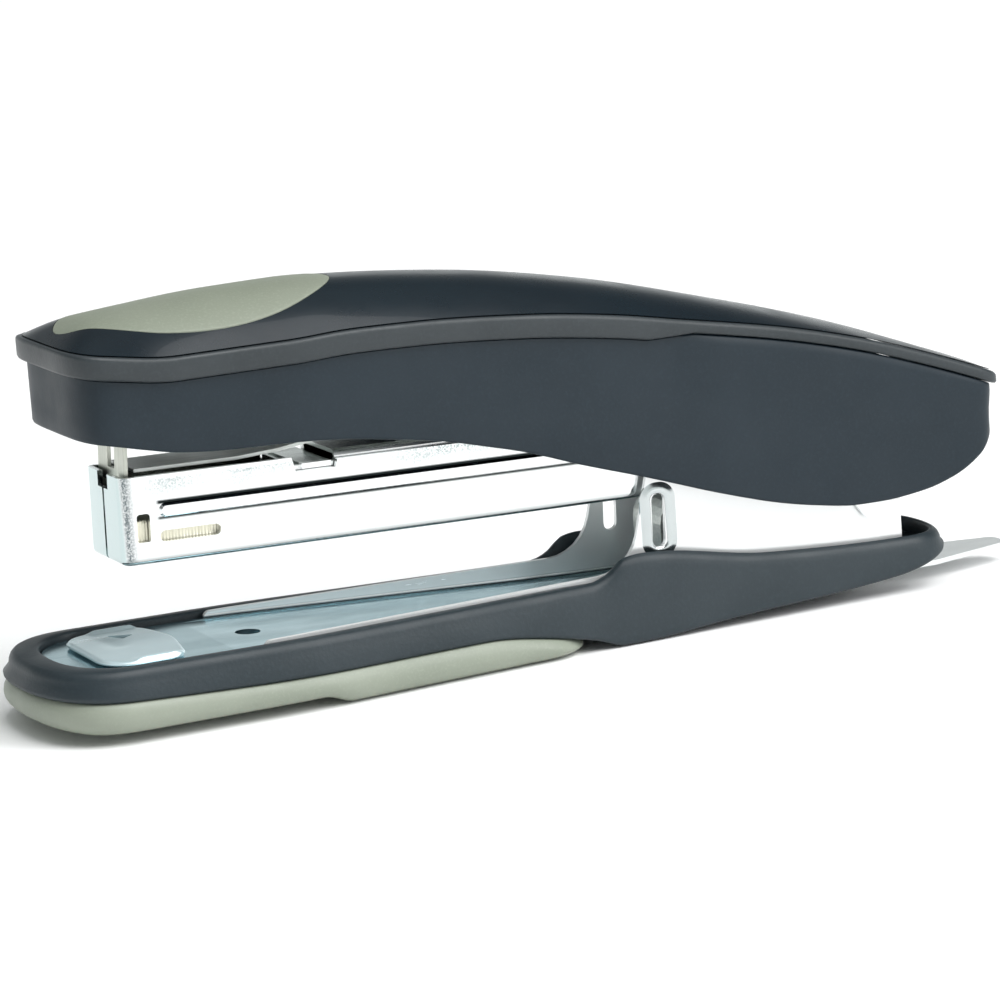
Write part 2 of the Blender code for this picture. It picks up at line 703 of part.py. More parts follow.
def make_shell():
    """The base: a boat-shaped tray whose rim steps up round the bracket's walls."""
    plan = base_plan()
    hull = plan.inset(lambda x: -draft(x), (-0.8 * DRAFT, -0.4 * DRAFT))
    inner = rim_inside()
    rings = [
        ring(hull.inset(0.8 * MM), shell_bottom),
        ring(hull, lambda x: shell_bottom(x) + 0.4 * MM),
        ring(plan, lambda x: rim_top(x) - 1.9 * MM),
        ring(plan.inset(0.4 * MM), lambda x: rim_top(x) - 0.6 * MM),
        ring(plan.inset(1.1 * MM), lambda x: rim_top(x) - 0.1 * MM),
        ring(inner.inset(-0.5 * MM), rim_top),
        ring(inner, lambda x: rim_top(x) - 0.5 * MM),
        ring(inner, shell_floor),
    ]
    shell = finish("base_shell", ring_mesh("base_shell", rings), base, CHARCOAL)
    bore = STUD_RADIUS + RUN
    add_boolean(shell, upright("stud_bore", ANVIL_X, 0, -5 * MM, 20 * MM, bore, 20))
    recess = block_mesh(
        "tongue_recess",
        (TONGUE_ROOT - CLEAR, -TONGUE_HALF - CLEAR, -5 * MM),
        (LENGTH, TONGUE_HALF + CLEAR, TONGUE_TOP + CLEAR),
    )
    add_boolean(shell, recess)
    for x in RIVET_STATIONS:
        low = deck_top(x) - RIVET_DEPTH - CLEAR
        add_boolean(shell, upright("rivet_pit", x, 0, low, 20 * MM, RIVET_RADIUS + CLEAR, 12))
    pit = upright(
        "remover_pit", TONGUE_RIVET, 0, -5 * MM, REMOVER_RIVET_TOP + CLEAR, RIVET_RADIUS + CLEAR, 12
    )
    return add_boolean(shell, pit)


def make_sole():
    """The rubber sole under the nose, with its deeper foot under the middle."""
    plan = Plan(0.9 * MM, SOLE_REACH, 13 * MM, 9 * MM, lambda x: rim_half(x) + DRAFT)

    def part_way(share):
        return lambda x: foot(x) + share * (shell_bottom(x) - CLEAR - foot(x))

    rings = [
        ring(plan.inset(1.6 * MM), foot),
        ring(plan.inset(0.1 * MM), part_way(0.1)),
        ring(plan.inset(-0.8 * MM), part_way(0.35)),
        ring(plan.inset(-0.7 * MM), part_way(0.6)),
        ring(plan, part_way(1)),
    ]
    sole = finish("base_sole", ring_mesh("base_sole", rings), base, SOLE)
    bore = STUD_RADIUS + 1.2 * MM
    return add_boolean(sole, upright("sole_bore", ANVIL_X, 0, -5 * MM, 20 * MM, bore, 20))


def make_bracket():
    """The steel bracket: a deck whose low flanges sweep up into the two pivot walls."""

    def section(x):
        web = deck_top(x) - BRACKET_SHEET
        return channel_section(bracket_half(x), web, PIVOT_HEIGHT + 15 * MM, BRACKET_SHEET, 1.5 * MM)

    stations = [DECK_FRONT - 1 * MM, DECK_SLOPE_FRONT]
    stations += stations_between(DECK_SLOPE_FRONT + 4 * MM, WALL_REAR, 14)
    bracket = finish("bracket", section_mesh("bracket", stations, section), base, DECK)
    flange = FLANGE_FRONT
    flange_top = rim_top(flange) + 0.1 * MM
    lip = deck_top(flange) + 0.15 * MM
    side = round_corners([
        (DECK_FRONT - 5 * MM, -10 * MM, 0),
        (WALL_REAR + 5 * MM, -10 * MM, 0),
        (WALL_REAR + 5 * MM, DECK_REAR_HEIGHT - 3 * MM, 0),
        (WALL_REAR - 0.1 * MM, DECK_REAR_HEIGHT - 3 * MM, 0),
        (WALL_REAR - 0.1 * MM, PIVOT_HEIGHT + LOBE_RADIUS, LOBE_RADIUS),
        (PIVOT_X - 6 * MM, PIVOT_HEIGHT + LOBE_RADIUS, 10 * MM),
        (WALL_FRONT + 4.5 * MM, PIVOT_HEIGHT - 0.5 * MM, 3 * MM),
        (WALL_FRONT, flange_top, 7.5 * MM),
        (flange + 0.4 * MM, flange_top, 0.9 * MM),
        (flange - 0.6 * MM, lip, 0),
        (DECK_FRONT - 5 * MM, lip, 0),
    ], 6)
    reach = 2 * NOSE_HALF
    add_boolean(bracket, plate_mesh("bracket_side", [side], -reach, reach, "XZ"), "INTERSECT")
    nose = rim_inside().inset(CLEAR)
    right = [(x, -w) for x, w in nose.points(12) if x < flange - 2 * MM]
    outline = right + [(LENGTH, -reach), (LENGTH, reach)] + [(x, -y) for x, y in right[:0:-1]]
    nose_tool = plate_mesh("bracket_nose", [outline], -10 * MM, 90 * MM, "XY")
    add_boolean(bracket, nose_tool, "INTERSECT")
    bore = STUD_RADIUS + RUN
    add_boolean(bracket, upright("stud_hole", ANVIL_X, 0, 0, 20 * MM, bore, 20))
    slot = round_corners([
        (WALL_FRONT + 4.1 * MM, REAR_RIM_HEIGHT, 1.0 * MM),
        (WALL_FRONT + 6.4 * MM, REAR_RIM_HEIGHT, 1.0 * MM),
        (WALL_FRONT + 6.7 * MM, REAR_RIM_HEIGHT + WALL_SLOT, 1.0 * MM),
        (WALL_FRONT + 4.4 * MM, REAR_RIM_HEIGHT + WALL_SLOT, 1.0 * MM),
    ], 3)
    add_boolean(bracket, plate_mesh("bracket_slot", [slot], -reach, reach, "XZ"))
    add_boolean(bracket, crosswise_hole("bracket_bore", PIVOT_X, PIVOT_HEIGHT, PIN_RADIUS + RUN))
    for x in RIVET_STATIONS:
        add_boolean(bracket, upright("deck_hole", x, 0, 0, 20 * MM, RIVET_RADIUS + CLEAR, 12))
    front_hole = upright("front_hole", NOSE_LIP + 21.3 * MM, 0, 0, 20 * MM, 2 * MM, 16)
    return add_boolean(bracket, front_hole)


def make_base_fasteners():
    """The pivot pin, the rivets that hold the bracket down and the rivet of the staple remover."""
    half = FRAME_HALF + 0.2 * MM
    chamfer = 0.3 * MM
    pin = turned_mesh("pivot_pin", [
        (-half, PIN_RADIUS - chamfer), (-half + chamfer, PIN_RADIUS),
        (half - chamfer, PIN_RADIUS), (half, PIN_RADIUS - chamfer),
    ], "Y", PIVOT, 20)
    finish("pivot_pin", pin, base, CHROME)
    for name, x in zip(("deck_rivet_front", "deck_rivet_rear"), RIVET_STATIONS):
        top = deck_top(x - RIVET_HEAD) + CLEAR
        rivet = turned_mesh(name, [
            (deck_top(x) - RIVET_DEPTH, RIVET_RADIUS), (top, RIVET_RADIUS), (top, RIVET_HEAD),
            (top + 0.5 * MM, RIVET_HEAD - 0.3 * MM), (top + 0.8 * MM, RIVET_HEAD - 1.2 * MM),
        ], "Z", (x, 0, 0), 14)
        finish(name, rivet, base, CHROME)
    low = TONGUE_TOP - TONGUE_SHEET - CLEAR
    rivet = turned_mesh("remover_rivet", [
        (low - 0.7 * MM, RIVET_HEAD - 0.8 * MM), (low - 0.4 * MM, RIVET_HEAD), (low, RIVET_HEAD),
        (low, RIVET_RADIUS), (REMOVER_RIVET_TOP, RIVET_RADIUS),
    ], "Z", (TONGUE_RIVET, 0, 0), 14)
    finish("remover_rivet", rivet, base, CHROME)


def make_staple_remover():
    """The thin tongue behind the tail that lifts staples out."""
    outline = round_corners([
        (TONGUE_ROOT, -TONGUE_HALF, 1 * MM),
        (BASE_TAIL - 2 * MM, -TONGUE_HALF, 2 * MM),
        (LENGTH, -0.36 * TONGUE_HALF, 1.5 * MM),
        (LENGTH, 0.36 * TONGUE_HALF, 1.5 * MM),
        (BASE_TAIL - 2 * MM, TONGUE_HALF, 2 * MM),
        (TONGUE_ROOT, TONGUE_HALF, 1 * MM),
    ])
    hole = circle(TONGUE_RIVET, 0, RIVET_RADIUS + CLEAR, 12)
    mesh = plate_mesh("staple_remover", [outline, hole], TONGUE_TOP - TONGUE_SHEET, TONGUE_TOP, "XY")
    return finish("staple_remover", mesh, base, CHROME)


def make_return_spring():
    """The bent leaf between the walls that holds the magazine up."""
    foot_x = WALL_FRONT + 20 * MM
    bow = WALL_FRONT + 8 * MM
    foot_z = deck_top(bow) + CLEAR + 0.5 * SPRING_SHEET
    rise = (PIVOT_X - bow) * math.tan(MAGAZINE_PITCH)
    head_z = MAGAZINE_BOTTOM + rise - 1.4 * MM
    line = round_corners([
        (foot_x, foot_z, 0), (bow, foot_z, 4 * MM), (bow, head_z, 4 * MM), (foot_x - 2 * MM, head_z, 0),
    ], 5)
    outline = strip_outline(line, SPRING_SHEET)
    half = BRACKET_HALF - BRACKET_SHEET - 3.5 * MM
    mesh = plate_mesh("return_spring", [outline], -half, half, "XZ")
    return finish("return_spring", mesh, base, STEEL)


# ---------------------------------------------------------------- anvil

def make_anvil():
    """The turning anvil: a plate with two pairs of clinching grooves on a stud."""
    x = ANVIL_X
    plate = plate_mesh("anvil_plate", [round_corners([
        (x - ANVIL_REACH, -ANVIL_HALF, 5.2 * MM), (x + ANVIL_REACH - 2.2 * MM, -ANVIL_HALF, 3.6 * MM),
        (x + ANVIL_REACH, 0, 12 * MM),
        (x + ANVIL_REACH - 2.2 * MM, ANVIL_HALF, 3.6 * MM), (x - ANVIL_REACH, ANVIL_HALF, 5.2 * MM),
    ], 5)], ANVIL_TOP - ANVIL_THICKNESS, ANVIL_TOP, "XY")
    top = finish("anvil_plate", plate, anvil, DECK)
    for way in (-1, 1):
        groove_x = x + way * CLINCH_OFFSET
        reach = 0.5 * STAPLE_CROWN + (0.4 if way > 0 else 3.0) * MM
        for side in (-1, 1):
            inner = reach - 4.5 * MM
            low_y = min(side * inner, side * reach)
            groove = block_mesh(
                "clinch_groove",
                (groove_x - 0.8 * MM, low_y, ANVIL_TOP - 0.45 * MM),
                (groove_x + 0.8 * MM, low_y + reach - inner, ANVIL_TOP + 2 * MM),
                0.4 * MM, lambda a, b: abs(a.z - b.z) < 1e-9 and max(a.z, b.z) < ANVIL_TOP, 2,
            )
            add_boolean(top, groove)
    stud_top = ANVIL_TOP - ANVIL_THICKNESS - CLEAR
    knob = turned_mesh("anvil_stud", [
        (SOLE_TREAD + 0.6 * MM, STUD_RADIUS - 0.5 * MM), (SOLE_TREAD + 1.1 * MM, STUD_RADIUS),
        (stud_top - 0.2 * MM, STUD_RADIUS), (stud_top, STUD_RADIUS - 0.2 * MM),
    ], "Z", (x, 0, 0), 20)
    finish("anvil_stud", knob, stud, STEEL)


# ---------------------------------------------------------------- magazine

def make_channel():
    """The chromed magazine: a U channel closed in front by two folded flaps."""
    front, rear = MAGAZINE_FRONT, MAGAZINE_REAR
    half, sheet = MAGAZINE_HALF, MAGAZINE_SHEET
    bottom, top = MAGAZINE_BOTTOM, MAGAZINE_TOP

    def rounded(start, low):
        """Picks the upright front edges and the long bottom edges."""

        def pick(a, b):
            upright_front = abs(a.x - start) + abs(b.x - start) < 1e-9 and abs(a.y - b.y) < 1e-9
            long_bottom = abs(a.z - low) + abs(b.z - low) < 1e-9
            return upright_front or long_bottom

        return pick

    body = block_mesh(
        "magazine_channel", (front, -half, bottom), (rear, half, top), MAGAZINE_BEND,
        rounded(front, bottom), 4,
    )
    channel = finish("magazine_channel", body, magazine, CHROME)
    hollow = block_mesh(
        "hollow",
        (front + sheet, -half + sheet, bottom + sheet),
        (rear + 5 * MM, half - sheet, top + 5 * MM),
        MAGAZINE_BEND - sheet, rounded(front + sheet, bottom + sheet), 2,
    )
    add_boolean(channel, hollow)
    reach = 2 * half
    skyline = [
        (front - 2 * MM, top + 3 * MM), (front - 2 * MM, top), (front + 0.4 * MM, top),
        (NOTCH_FRONT, top), (NOTCH_FRONT + 0.6 * MM, top - 2.2 * MM), (NOTCH_REAR, top - 2.2 * MM),
        (NOTCH_REAR + 0.3 * MM, top - 1.0 * MM), (PIVOT_X - 4 * MM, top - 1.2 * MM),
        (rear - 1 * MM, PIVOT_HEIGHT + 3.4 * MM), (rear + 2 * MM, PIVOT_HEIGHT + 2 * MM),
        (rear + 2 * MM, top + 3 * MM),
    ]
    add_boolean(channel, plate_mesh("skyline", [skyline], -reach, reach, "XZ"))
    windows = plate_mesh("windows", [
        stadium(front + 6.0 * MM, front + 15.8 * MM, bottom + 4.1 * MM, 0.85 * MM),
        round_corners([
            (front + 2.4 * MM, bottom + 3.5 * MM, 0.3 * MM), (front + 4.5 * MM, bottom + 3.5 * MM, 0.3 * MM),
            (front + 4.5 * MM, bottom + 7.8 * MM, 0.5 * MM), (front + 2.4 * MM, bottom + 7.8 * MM, 0.5 * MM),
        ], 2),
    ], -reach, reach, "XZ")
    add_boolean(channel, windows)
    for side in (-1, 1):
        outer = side * (half + RIB_RISE)
        inner = side * (half - 0.5 * sheet)
        rib = plate_mesh(
            "rib", [stadium(front + 6.2 * MM, rear - 14 * MM, RIB_LINE, RIB_HALF, 4)],
            min(outer, inner), max(outer, inner), "XZ",
        )
        add_boolean(channel, rib, "UNION")
    gap = block_mesh(
        "front_gap",
        (front - 1 * MM, -0.35 * MM, bottom - 1 * MM),
        (front + 1.2 * MM, 0.35 * MM, top + 1 * MM),
    )
    add_boolean(channel, gap)
    mouth = block_mesh(
        "mouth", (front - 1 * MM, -2.1 * MM, top - 2.3 * MM), (front + 1.2 * MM, 2.1 * MM, top + 1 * MM)
    )
    add_boolean(channel, mouth)
    exit_slot = block_mesh(
        "exit_slot",
        (front + sheet + 0.01 * MM, -half + MAGAZINE_BEND - 0.3 * MM, bottom - 1 * MM),
        (CHAMBER_REAR + STAPLE_WIRE + 0.2 * MM, half - MAGAZINE_BEND + 0.3 * MM, bottom + 1.5 * MM),
    )
    add_boolean(channel, exit_slot)
    return add_boolean(channel, crosswise_hole("pin_hole", PIVOT_X, PIVOT_HEIGHT, PIN_RADIUS + RUN))


def inverted_channel(half, top, bottom, sheet, bend):
    """The cross-section of a cap of sheet, open below, as a function of the station."""
    return lambda x: channel_section(half, top, bottom, sheet, bend)


def make_magazine_inside():
    """The rail, the staples on it, the guide rod and the block that closes the magazine behind."""
    rail = section_mesh(
        "staple_rail", [RAIL_FRONT, RAIL_REAR],
        inverted_channel(RAIL_HALF, RAIL_TOP, RAIL_BOTTOM, RAIL_SHEET, 1.0 * MM),
    )
    rail = finish("staple_rail", rail, magazine, CHROME)
    slot = plate_mesh("rail_slot", [
        stadium(RAIL_FRONT + 3 * MM, RAIL_REAR - 2 * MM, 0, RAIL_SLOT_HALF, 4)
    ], RAIL_TOP - 2 * MM, RAIL_TOP + 1 * MM, "XY")
    add_boolean(rail, slot)

    strip = section_mesh(
        "staple_strip", [STRIP_FRONT, STRIP_FRONT + STRIP_LENGTH],
        inverted_channel(0.5 * STAPLE_CROWN, STRIP_TOP, STRIP_TOP - STAPLE_LEG + 0.2 * MM,
                         STAPLE_WIRE, 0.7 * MM),
    )
    finish("staple_strip", strip, magazine, ZINC)

    rod = turned_mesh("guide_rod", [
        (RAIL_FRONT + 6 * MM, ROD_RADIUS), (RAIL_REAR + 3 * MM, ROD_RADIUS),
    ], "X", (0, 0, ROD_HEIGHT), 10)
    finish("guide_rod", rod, magazine, STEEL)

    stop_half = MAGAZINE_HALF - MAGAZINE_SHEET - CLEAR
    stop = block_mesh(
        "rear_stop", (RAIL_REAR + CLEAR, -stop_half, FLOOR_TOP + CLEAR),
        (STOP_REAR, stop_half, RAIL_TOP + 1.2 * MM), 0.6 * MM, None, 2,
    )
    stop = finish("rear_stop", stop, magazine, PUSHER_PLASTIC)
    socket = turned_mesh("socket", [
        (RAIL_REAR - 2 * MM, ROD_RADIUS + CLEAR), (RAIL_REAR + 3.4 * MM, ROD_RADIUS + CLEAR),
    ], "X", (0, 0, ROD_HEIGHT), 10)
    add_boolean(stop, socket)


def make_magazine_cover():
    """The sheet cap over the magazine, with two tabs that hook into the notches of its sides."""
    half = MAGAZINE_HALF - MAGAZINE_SHEET - CLEAR
    cap = section_mesh(
        "magazine_cover", [COVER_FRONT, PIVOT_X - 8 * MM],
        inverted_channel(half, MAGAZINE_TOP + 0.2 * MM, STRIP_TOP + 1.4 * MM, 0.6 * MM, 0.9 * MM),
    )
    cap = finish("magazine_cover", cap, magazine, CHROME)
    step = block_mesh(
        "cover_step",
        (COVER_FRONT - 1 * MM, -2 * half, MAGAZINE_TOP - 1.5 * MM),
        (NOTCH_REAR + 0.2 * MM, 2 * half, MAGAZINE_TOP + 3 * MM),
    )
    add_boolean(cap, step)
    shelf = block_mesh(
        "cover_shelf",
        (COVER_FRONT, -half + 0.1 * MM, MAGAZINE_TOP - 2.0 * MM),
        (NOTCH_REAR + 1.2 * MM, half - 0.1 * MM, MAGAZINE_TOP - 1.4 * MM),
    )
    add_boolean(cap, shelf, "UNION")
    tabs = block_mesh(
        "cover_tabs",
        (NOTCH_FRONT + 1.6 * MM, -MAGAZINE_HALF, MAGAZINE_TOP - 1.9 * MM),
        (NOTCH_REAR - 0.8 * MM, MAGAZINE_HALF, MAGAZINE_TOP - 1.1 * MM),
    )
    return add_boolean(cap, tabs, "UNION")


def make_leaf_spring():
    """The flat leaf that lies on the magazine and rises under the handle to push it open."""
    z = MAGAZINE_TOP + CLEAR + 0.5 * SPRING_SHEET
    front = MAGAZINE_FRONT + 3.3 * MM
    line = [
        Vector((front, z)), Vector((NOTCH_FRONT - 8 * MM, z)), Vector((NOTCH_FRONT - 1 * MM, z + 0.5 * MM)),
        Vector((NOTCH_REAR, z + 1.7 * MM)), Vector((NOTCH_REAR + 9 * MM, z + 4.6 * MM)),
        Vector((NOTCH_REAR + 15 * MM, z + 6.6 * MM)),
    ]
    mesh = plate_mesh("leaf_spring", [strip_outline(line, SPRING_SHEET)], -5 * MM, 5 * MM, "XZ")
    return finish("leaf_spring", mesh, magazine, STEEL)


def make_pusher():
    """The follower that pushes the staples forward, and its coil spring on the guide rod."""
    bottom = FLOOR_TOP + CLEAR
    saddle = section_mesh(
        "pusher", [PUSHER_FRONT, PUSHER_REAR],
        inverted_channel(0.5 * STAPLE_CROWN, STRIP_TOP + 1.0 * MM, bottom, STAPLE_WIRE, 0.7 * MM),
    )
    saddle = finish("pusher", saddle, pusher, PUSHER_PLASTIC)
    web_half = RAIL_SLOT_HALF - CLEAR
    key_top = RAIL_TOP - RAIL_SHEET - CLEAR
    web = block_mesh(
        "pusher_web", (PUSHER_REAR - 6 * MM, -web_half, key_top - 1 * MM),
        (PUSHER_REAR - 1 * MM, web_half, STRIP_TOP + 0.8 * MM),
    )
    add_boolean(saddle, web, "UNION")
    key_half = RAIL_HALF - RAIL_SHEET - CLEAR
    key = block_mesh(
        "pusher_key", (PUSHER_REAR - 6.5 * MM, -key_half, RAIL_BOTTOM),
        (PUSHER_REAR - 0.5 * MM, key_half, key_top),
    )
    add_boolean(saddle, key, "UNION")
    bore = turned_mesh("key_bore", [
        (PUSHER_FRONT, ROD_RADIUS + CLEAR), (PUSHER_REAR + 2 * MM, ROD_RADIUS + CLEAR),
    ], "X", (0, 0, ROD_HEIGHT), 10)
    add_boolean(saddle, bore)


def make_pusher_spring():
    """The coil between the pusher and the rear stop."""
    start = PUSHER_REAR - 0.5 * MM + CLEAR + COIL_WIRE
    end = RAIL_REAR - COIL_WIRE
    steps = 8
    curve = bpy.data.curves.new("pusher_spring", "CURVE")
    curve.dimensions = "3D"
    curve.bevel_depth = COIL_WIRE
    curve.bevel_resolution = 1
    curve.use_fill_caps = True
    spline = curve.splines.new("POLY")
    spline.points.add(COIL_TURNS * steps)
    for k, point in enumerate(spline.points):
        angle = 2 * math.pi * k / steps
        along = start + (end - start) * k / (COIL_TURNS * steps)
        point.co = (along, COIL_RADIUS * math.cos(angle), ROD_HEIGHT + COIL_RADIUS * math.sin(angle), 1)
    coil = bpy.data.objects.new("pusher_spring", curve)
    PARTS.objects.link(coil)
    coil.parent = magazine
    coil.location = -PIVOT
    curve.materials.append(STEEL)
    return coil


# ---------------------------------------------------------------- handle

def handle_plan():
    return Plan(HANDLE_FRONT, HANDLE_REAR, 9 * MM, 6 * MM, band_half, 4.2)


def crown_ring(plan, share, drop=0.0, ends=8 * MM):
    """One ring of the crowned cover, at a share of its half width."""
    narrowed = plan.scaled(share, (1 - share) * ends)

    def height(x):
        edge = band_top(x) + CLEAR
        return edge + (crown_top(x) - edge) * (1 - share**2.4) - drop

    return ring(narrowed, height)


def make_cover():
    """The crowned top of the handle, a thin shell with a recess for the grip."""
    outer = handle_plan().inset(0.9 * MM)
    inner = outer.inset(COVER_WALL)
    shares = (0.12, 0.35, 0.55, 0.72, 0.86, 0.95)
    rings = [crown_ring(inner, share, COVER_WALL) for share in shares]
    rings.append(ring(inner, lambda x: band_top(x) + CLEAR))
    rings.append(ring(outer, lambda x: band_top(x) + CLEAR))
    rings += [crown_ring(outer, share) for share in shares[::-1]]
    cover = finish("handle_cover", ring_mesh("handle_cover", rings), handle, SATIN, 50)
    recess = grip_mesh("grip_recess", 0.2 * MM, GRIP_THICKNESS, 3 * MM)
    return add_boolean(cover, recess)


def crown_height(x, y):
    """Height of the cover's outer surface at a point of its plan."""
    outer = handle_plan().inset(0.9 * MM)
    low, high = 0.0, 1.0
    for _ in range(24):
        share = 0.5 * (low + high)
        narrowed = outer.scaled(share, (1 - share) * 8 * MM)
        inside = narrowed.front < x < narrowed.rear and (
            abs(y) <= narrowed.half(x) * narrowed.end_share(x)
        )
        low, high = (low, share) if inside else (share, high)
    share = 0.5 * (low + high)
    edge = band_top(x) + CLEAR
    return edge + (crown_top(x) - edge) * (1 - share**2.4)


def grip_mesh(name, spread, depth, height):
    """The egg-shaped grip, or the tool that cuts its recess: spread wider, and sunk by depth."""
    front = HANDLE_FRONT + 3.2 * MM
    length = GRIP_LENGTH
    count = 20

    def half_width(share):
        return GRIP_HALF * math.sqrt(max(0.0, 1 - (2 * share - 1) ** 2))

    def make(bm):
        columns = []
        for k in range(count + 1):
            share = 0.5 - 0.5 * math.cos(math.pi * k / count)
            x = front + length * share
            wide = half_width(share)
            outer = wide + spread if 0 < k < count else 0.0
            reach = x + (spread if k == count else -spread if k == 0 else 0)
            row = []
            for j in range(-4, 5):
                y = outer * j / 4
                z = crown_height(reach, y)
                row.append((
                    bm.verts.new((reach, y, z - depth)),
                    bm.verts.new((reach, y, z + height)),
                ))
            columns.append(row)
        for first, second in zip(columns, columns[1:]):
            for a, b, c, d in zip(first, first[1:], second[1:], second):
                bm.faces.new((a[0], b[0], c[0], d[0]))
                bm.faces.new((a[1], d[1], c[1], b[1]))
            for a, d in ((first[0], second[0]), (first[-1], second[-1])):
                bm.faces.new((a[0], d[0], d[1], a[1]))
        for column in (columns[0], columns[-1]):
            for a, b in zip(column, column[1:]):
                bm.faces.new((a[0], a[1], b[1], b[0]))

    return mesh_from(name, make)


def make_grip():
    mesh = grip_mesh("grip_inlay", -0.1 * MM, GRIP_THICKNESS - CLEAR, 0.1 * MM)
    return finish("grip_inlay", mesh, handle, GRIP, 50)


def make_band():
    """The band round the handle, which overhangs the skirt."""
    outer = handle_plan()
    inner = outer.inset(BAND_LIP + SKIRT_WALL)
    rings = [
        ring(outer.inset(0.3 * MM), band_bottom),
        ring(outer, lambda x: band_bottom(x) + 0.3 * MM),
        ring(outer, lambda x: band_top(x) - 0.4 * MM),
        ring(outer.inset(0.4 * MM), band_top),
        ring(inner, band_top),
        ring(inner, band_bottom),
    ]
    return finish("handle_band", ring_mesh("handle_band", rings, True), handle, CHARCOAL)


def make_skirt():
    """The handle's side walls, open below, with an S-curved lower edge."""
    outer = handle_plan().inset(BAND_LIP, BAND_LIP + 0.3 * MM)
    inner = outer.inset(SKIRT_WALL)

    def top(x):
        return band_bottom(x) - CLEAR

    def low(x):
        return min(skirt_bottom(x), top(x) - 3 * MM)

    rings = [
        ring(outer.inset(0.3 * MM), low),
        ring(outer, lambda x: low(x) + 0.4 * MM),
        ring(outer, lambda x: top(x) - 1.5 * MM),
        ring(outer.inset(0.2 * MM), top),
        ring(inner, top),
        ring(inner, low),
    ]
    return finish("handle_skirt", ring_mesh("handle_skirt", rings, True), handle, CHARCOAL)


def frame_top(x):
    return band_top(x) - 4.2 * MM


def make_frame():
    """The steel channel inside the handle: it carries the driver in front and pivots on its ears."""
    front = MAGAZINE_FRONT + 8.5 * MM
    rear = PIVOT_X + 7.5 * MM

    def section(x):
        return channel_section(FRAME_HALF, frame_top(x), 5 * MM, FRAME_SHEET, 1.6 * MM)

    mesh = section_mesh("handle_frame", stations_between(front, rear, 14), section)
    frame = finish("handle_frame", mesh, handle, CHROME)
    shoulder = PIVOT_X - 22 * MM
    corners = [(front - 2 * MM, frame_top(front) + 8 * MM, 0)]
    corners += [
        (x, max(frame_top(x) - 5 * MM, skirt_bottom(x) + 3.5 * MM), 0)
        for x in stations_between(front - 2 * MM, shoulder, 5)
    ]
    corners += [
        (PIVOT_X - 8 * MM, PIVOT_HEIGHT - 6 * MM, 4 * MM),
        (PIVOT_X - 0.4 * MM, skirt_bottom(PIVOT_X) - 2.9 * MM, 1.9 * MM),
        (PIVOT_X + 3.8 * MM, skirt_bottom(PIVOT_X) - 2.9 * MM, 1.9 * MM),
        (PIVOT_X + 5 * MM, PIVOT_HEIGHT - 4 * MM, 2 * MM),
        (rear + 2 * MM, PIVOT_HEIGHT, 0),
        (rear + 2 * MM, frame_top(front) + 8 * MM, 0),
    ]
    side = round_corners(corners, 4)
    reach = 2 * FRAME_HALF
    add_boolean(frame, plate_mesh("frame_side", [side], -reach, reach, "XZ"), "INTERSECT")
    add_boolean(frame, crosswise_hole("frame_bore", PIVOT_X, PIVOT_HEIGHT, PIN_RADIUS + RUN))
    for x in DRIVER_RIVETS:
        add_boolean(frame, upright("driver_hole", x, 0, 30 * MM, 90 * MM, DRIVER_RIVET_RADIUS + CLEAR, 10))
    return frame


def make_driver():
    """The driver: a windowed blade that hangs into the magazine from a foot under the frame."""
    rest_rise = (PIVOT_X - MAGAZINE_FRONT - BLADE_SETBACK) * math.tan(MAGAZINE_PITCH)
    tip_z = MAGAZINE_TOP + rest_rise - BLADE_ENTRY
    tip_x = MAGAZINE_FRONT + BLADE_SETBACK + 0.5 * BLADE_SHEET
    foot_end = MAGAZINE_FRONT + 21 * MM
    foot_z = [frame_top(x) - FRAME_SHEET - CLEAR - 0.5 * BLADE_SHEET for x in (DRIVER_RIVETS[0], foot_end)]
    bend_z = foot_z[0] + 0.1 * MM
    bend_x = tip_x + (bend_z - tip_z) * math.tan(BLADE_LEAN)
    line = round_corners([
        (tip_x, tip_z, 0), (bend_x, bend_z, 1.5 * MM), (DRIVER_RIVETS[0], foot_z[0] - 0.15 * MM, 0),
        (foot_end, foot_z[1] - 0.15 * MM, 0),
    ], 4)
    outline = strip_outline(line, BLADE_SHEET)
    mesh = plate_mesh("driver_blade", [outline], -BLADE_HALF, BLADE_HALF, "XZ")
    blade = finish("driver_blade", mesh, handle, STEEL)
    window = block_mesh(
        "driver_window",
        (tip_x - 5 * MM, -1.5 * MM, tip_z + 2 * MM), (tip_x + 5 * MM, 1.5 * MM, bend_z - 4 * MM),
    )
    add_boolean(blade, window)
    shank, head = DRIVER_RIVET_RADIUS, DRIVER_RIVET_HEAD
    for name, x in zip(("driver_rivet_front", "driver_rivet_rear"), DRIVER_RIVETS):
        add_boolean(blade, upright("foot_hole", x, 0, 30 * MM, 90 * MM, DRIVER_RIVET_RADIUS + CLEAR, 10))
        top = max(frame_top(x - 2 * MM), frame_top(x + 2 * MM)) + CLEAR
        low = frame_top(x) - FRAME_SHEET - 2 * CLEAR - BLADE_SHEET - 0.4 * MM
        rivet = turned_mesh(name, [
            (low - 0.6 * MM, head - 0.6 * MM), (low - 0.3 * MM, head), (low, head), (low, shank),
            (top, shank), (top, head), (top + 0.3 * MM, head), (top + 0.6 * MM, head - 0.6 * MM),
        ], "Z", (x, 0, 0), 12)
        finish(name, rivet, handle, CHROME)


make_shell()
make_sole()
make_bracket()
make_base_fasteners()
make_staple_remover()
make_return_spring()
make_anvil()
make_channel()
make_magazine_inside()
make_magazine_cover()
make_leaf_spring()
make_pusher()
make_pusher_spring()
make_cover()
make_grip()
make_band()
make_skirt()
make_frame()
make_driver()
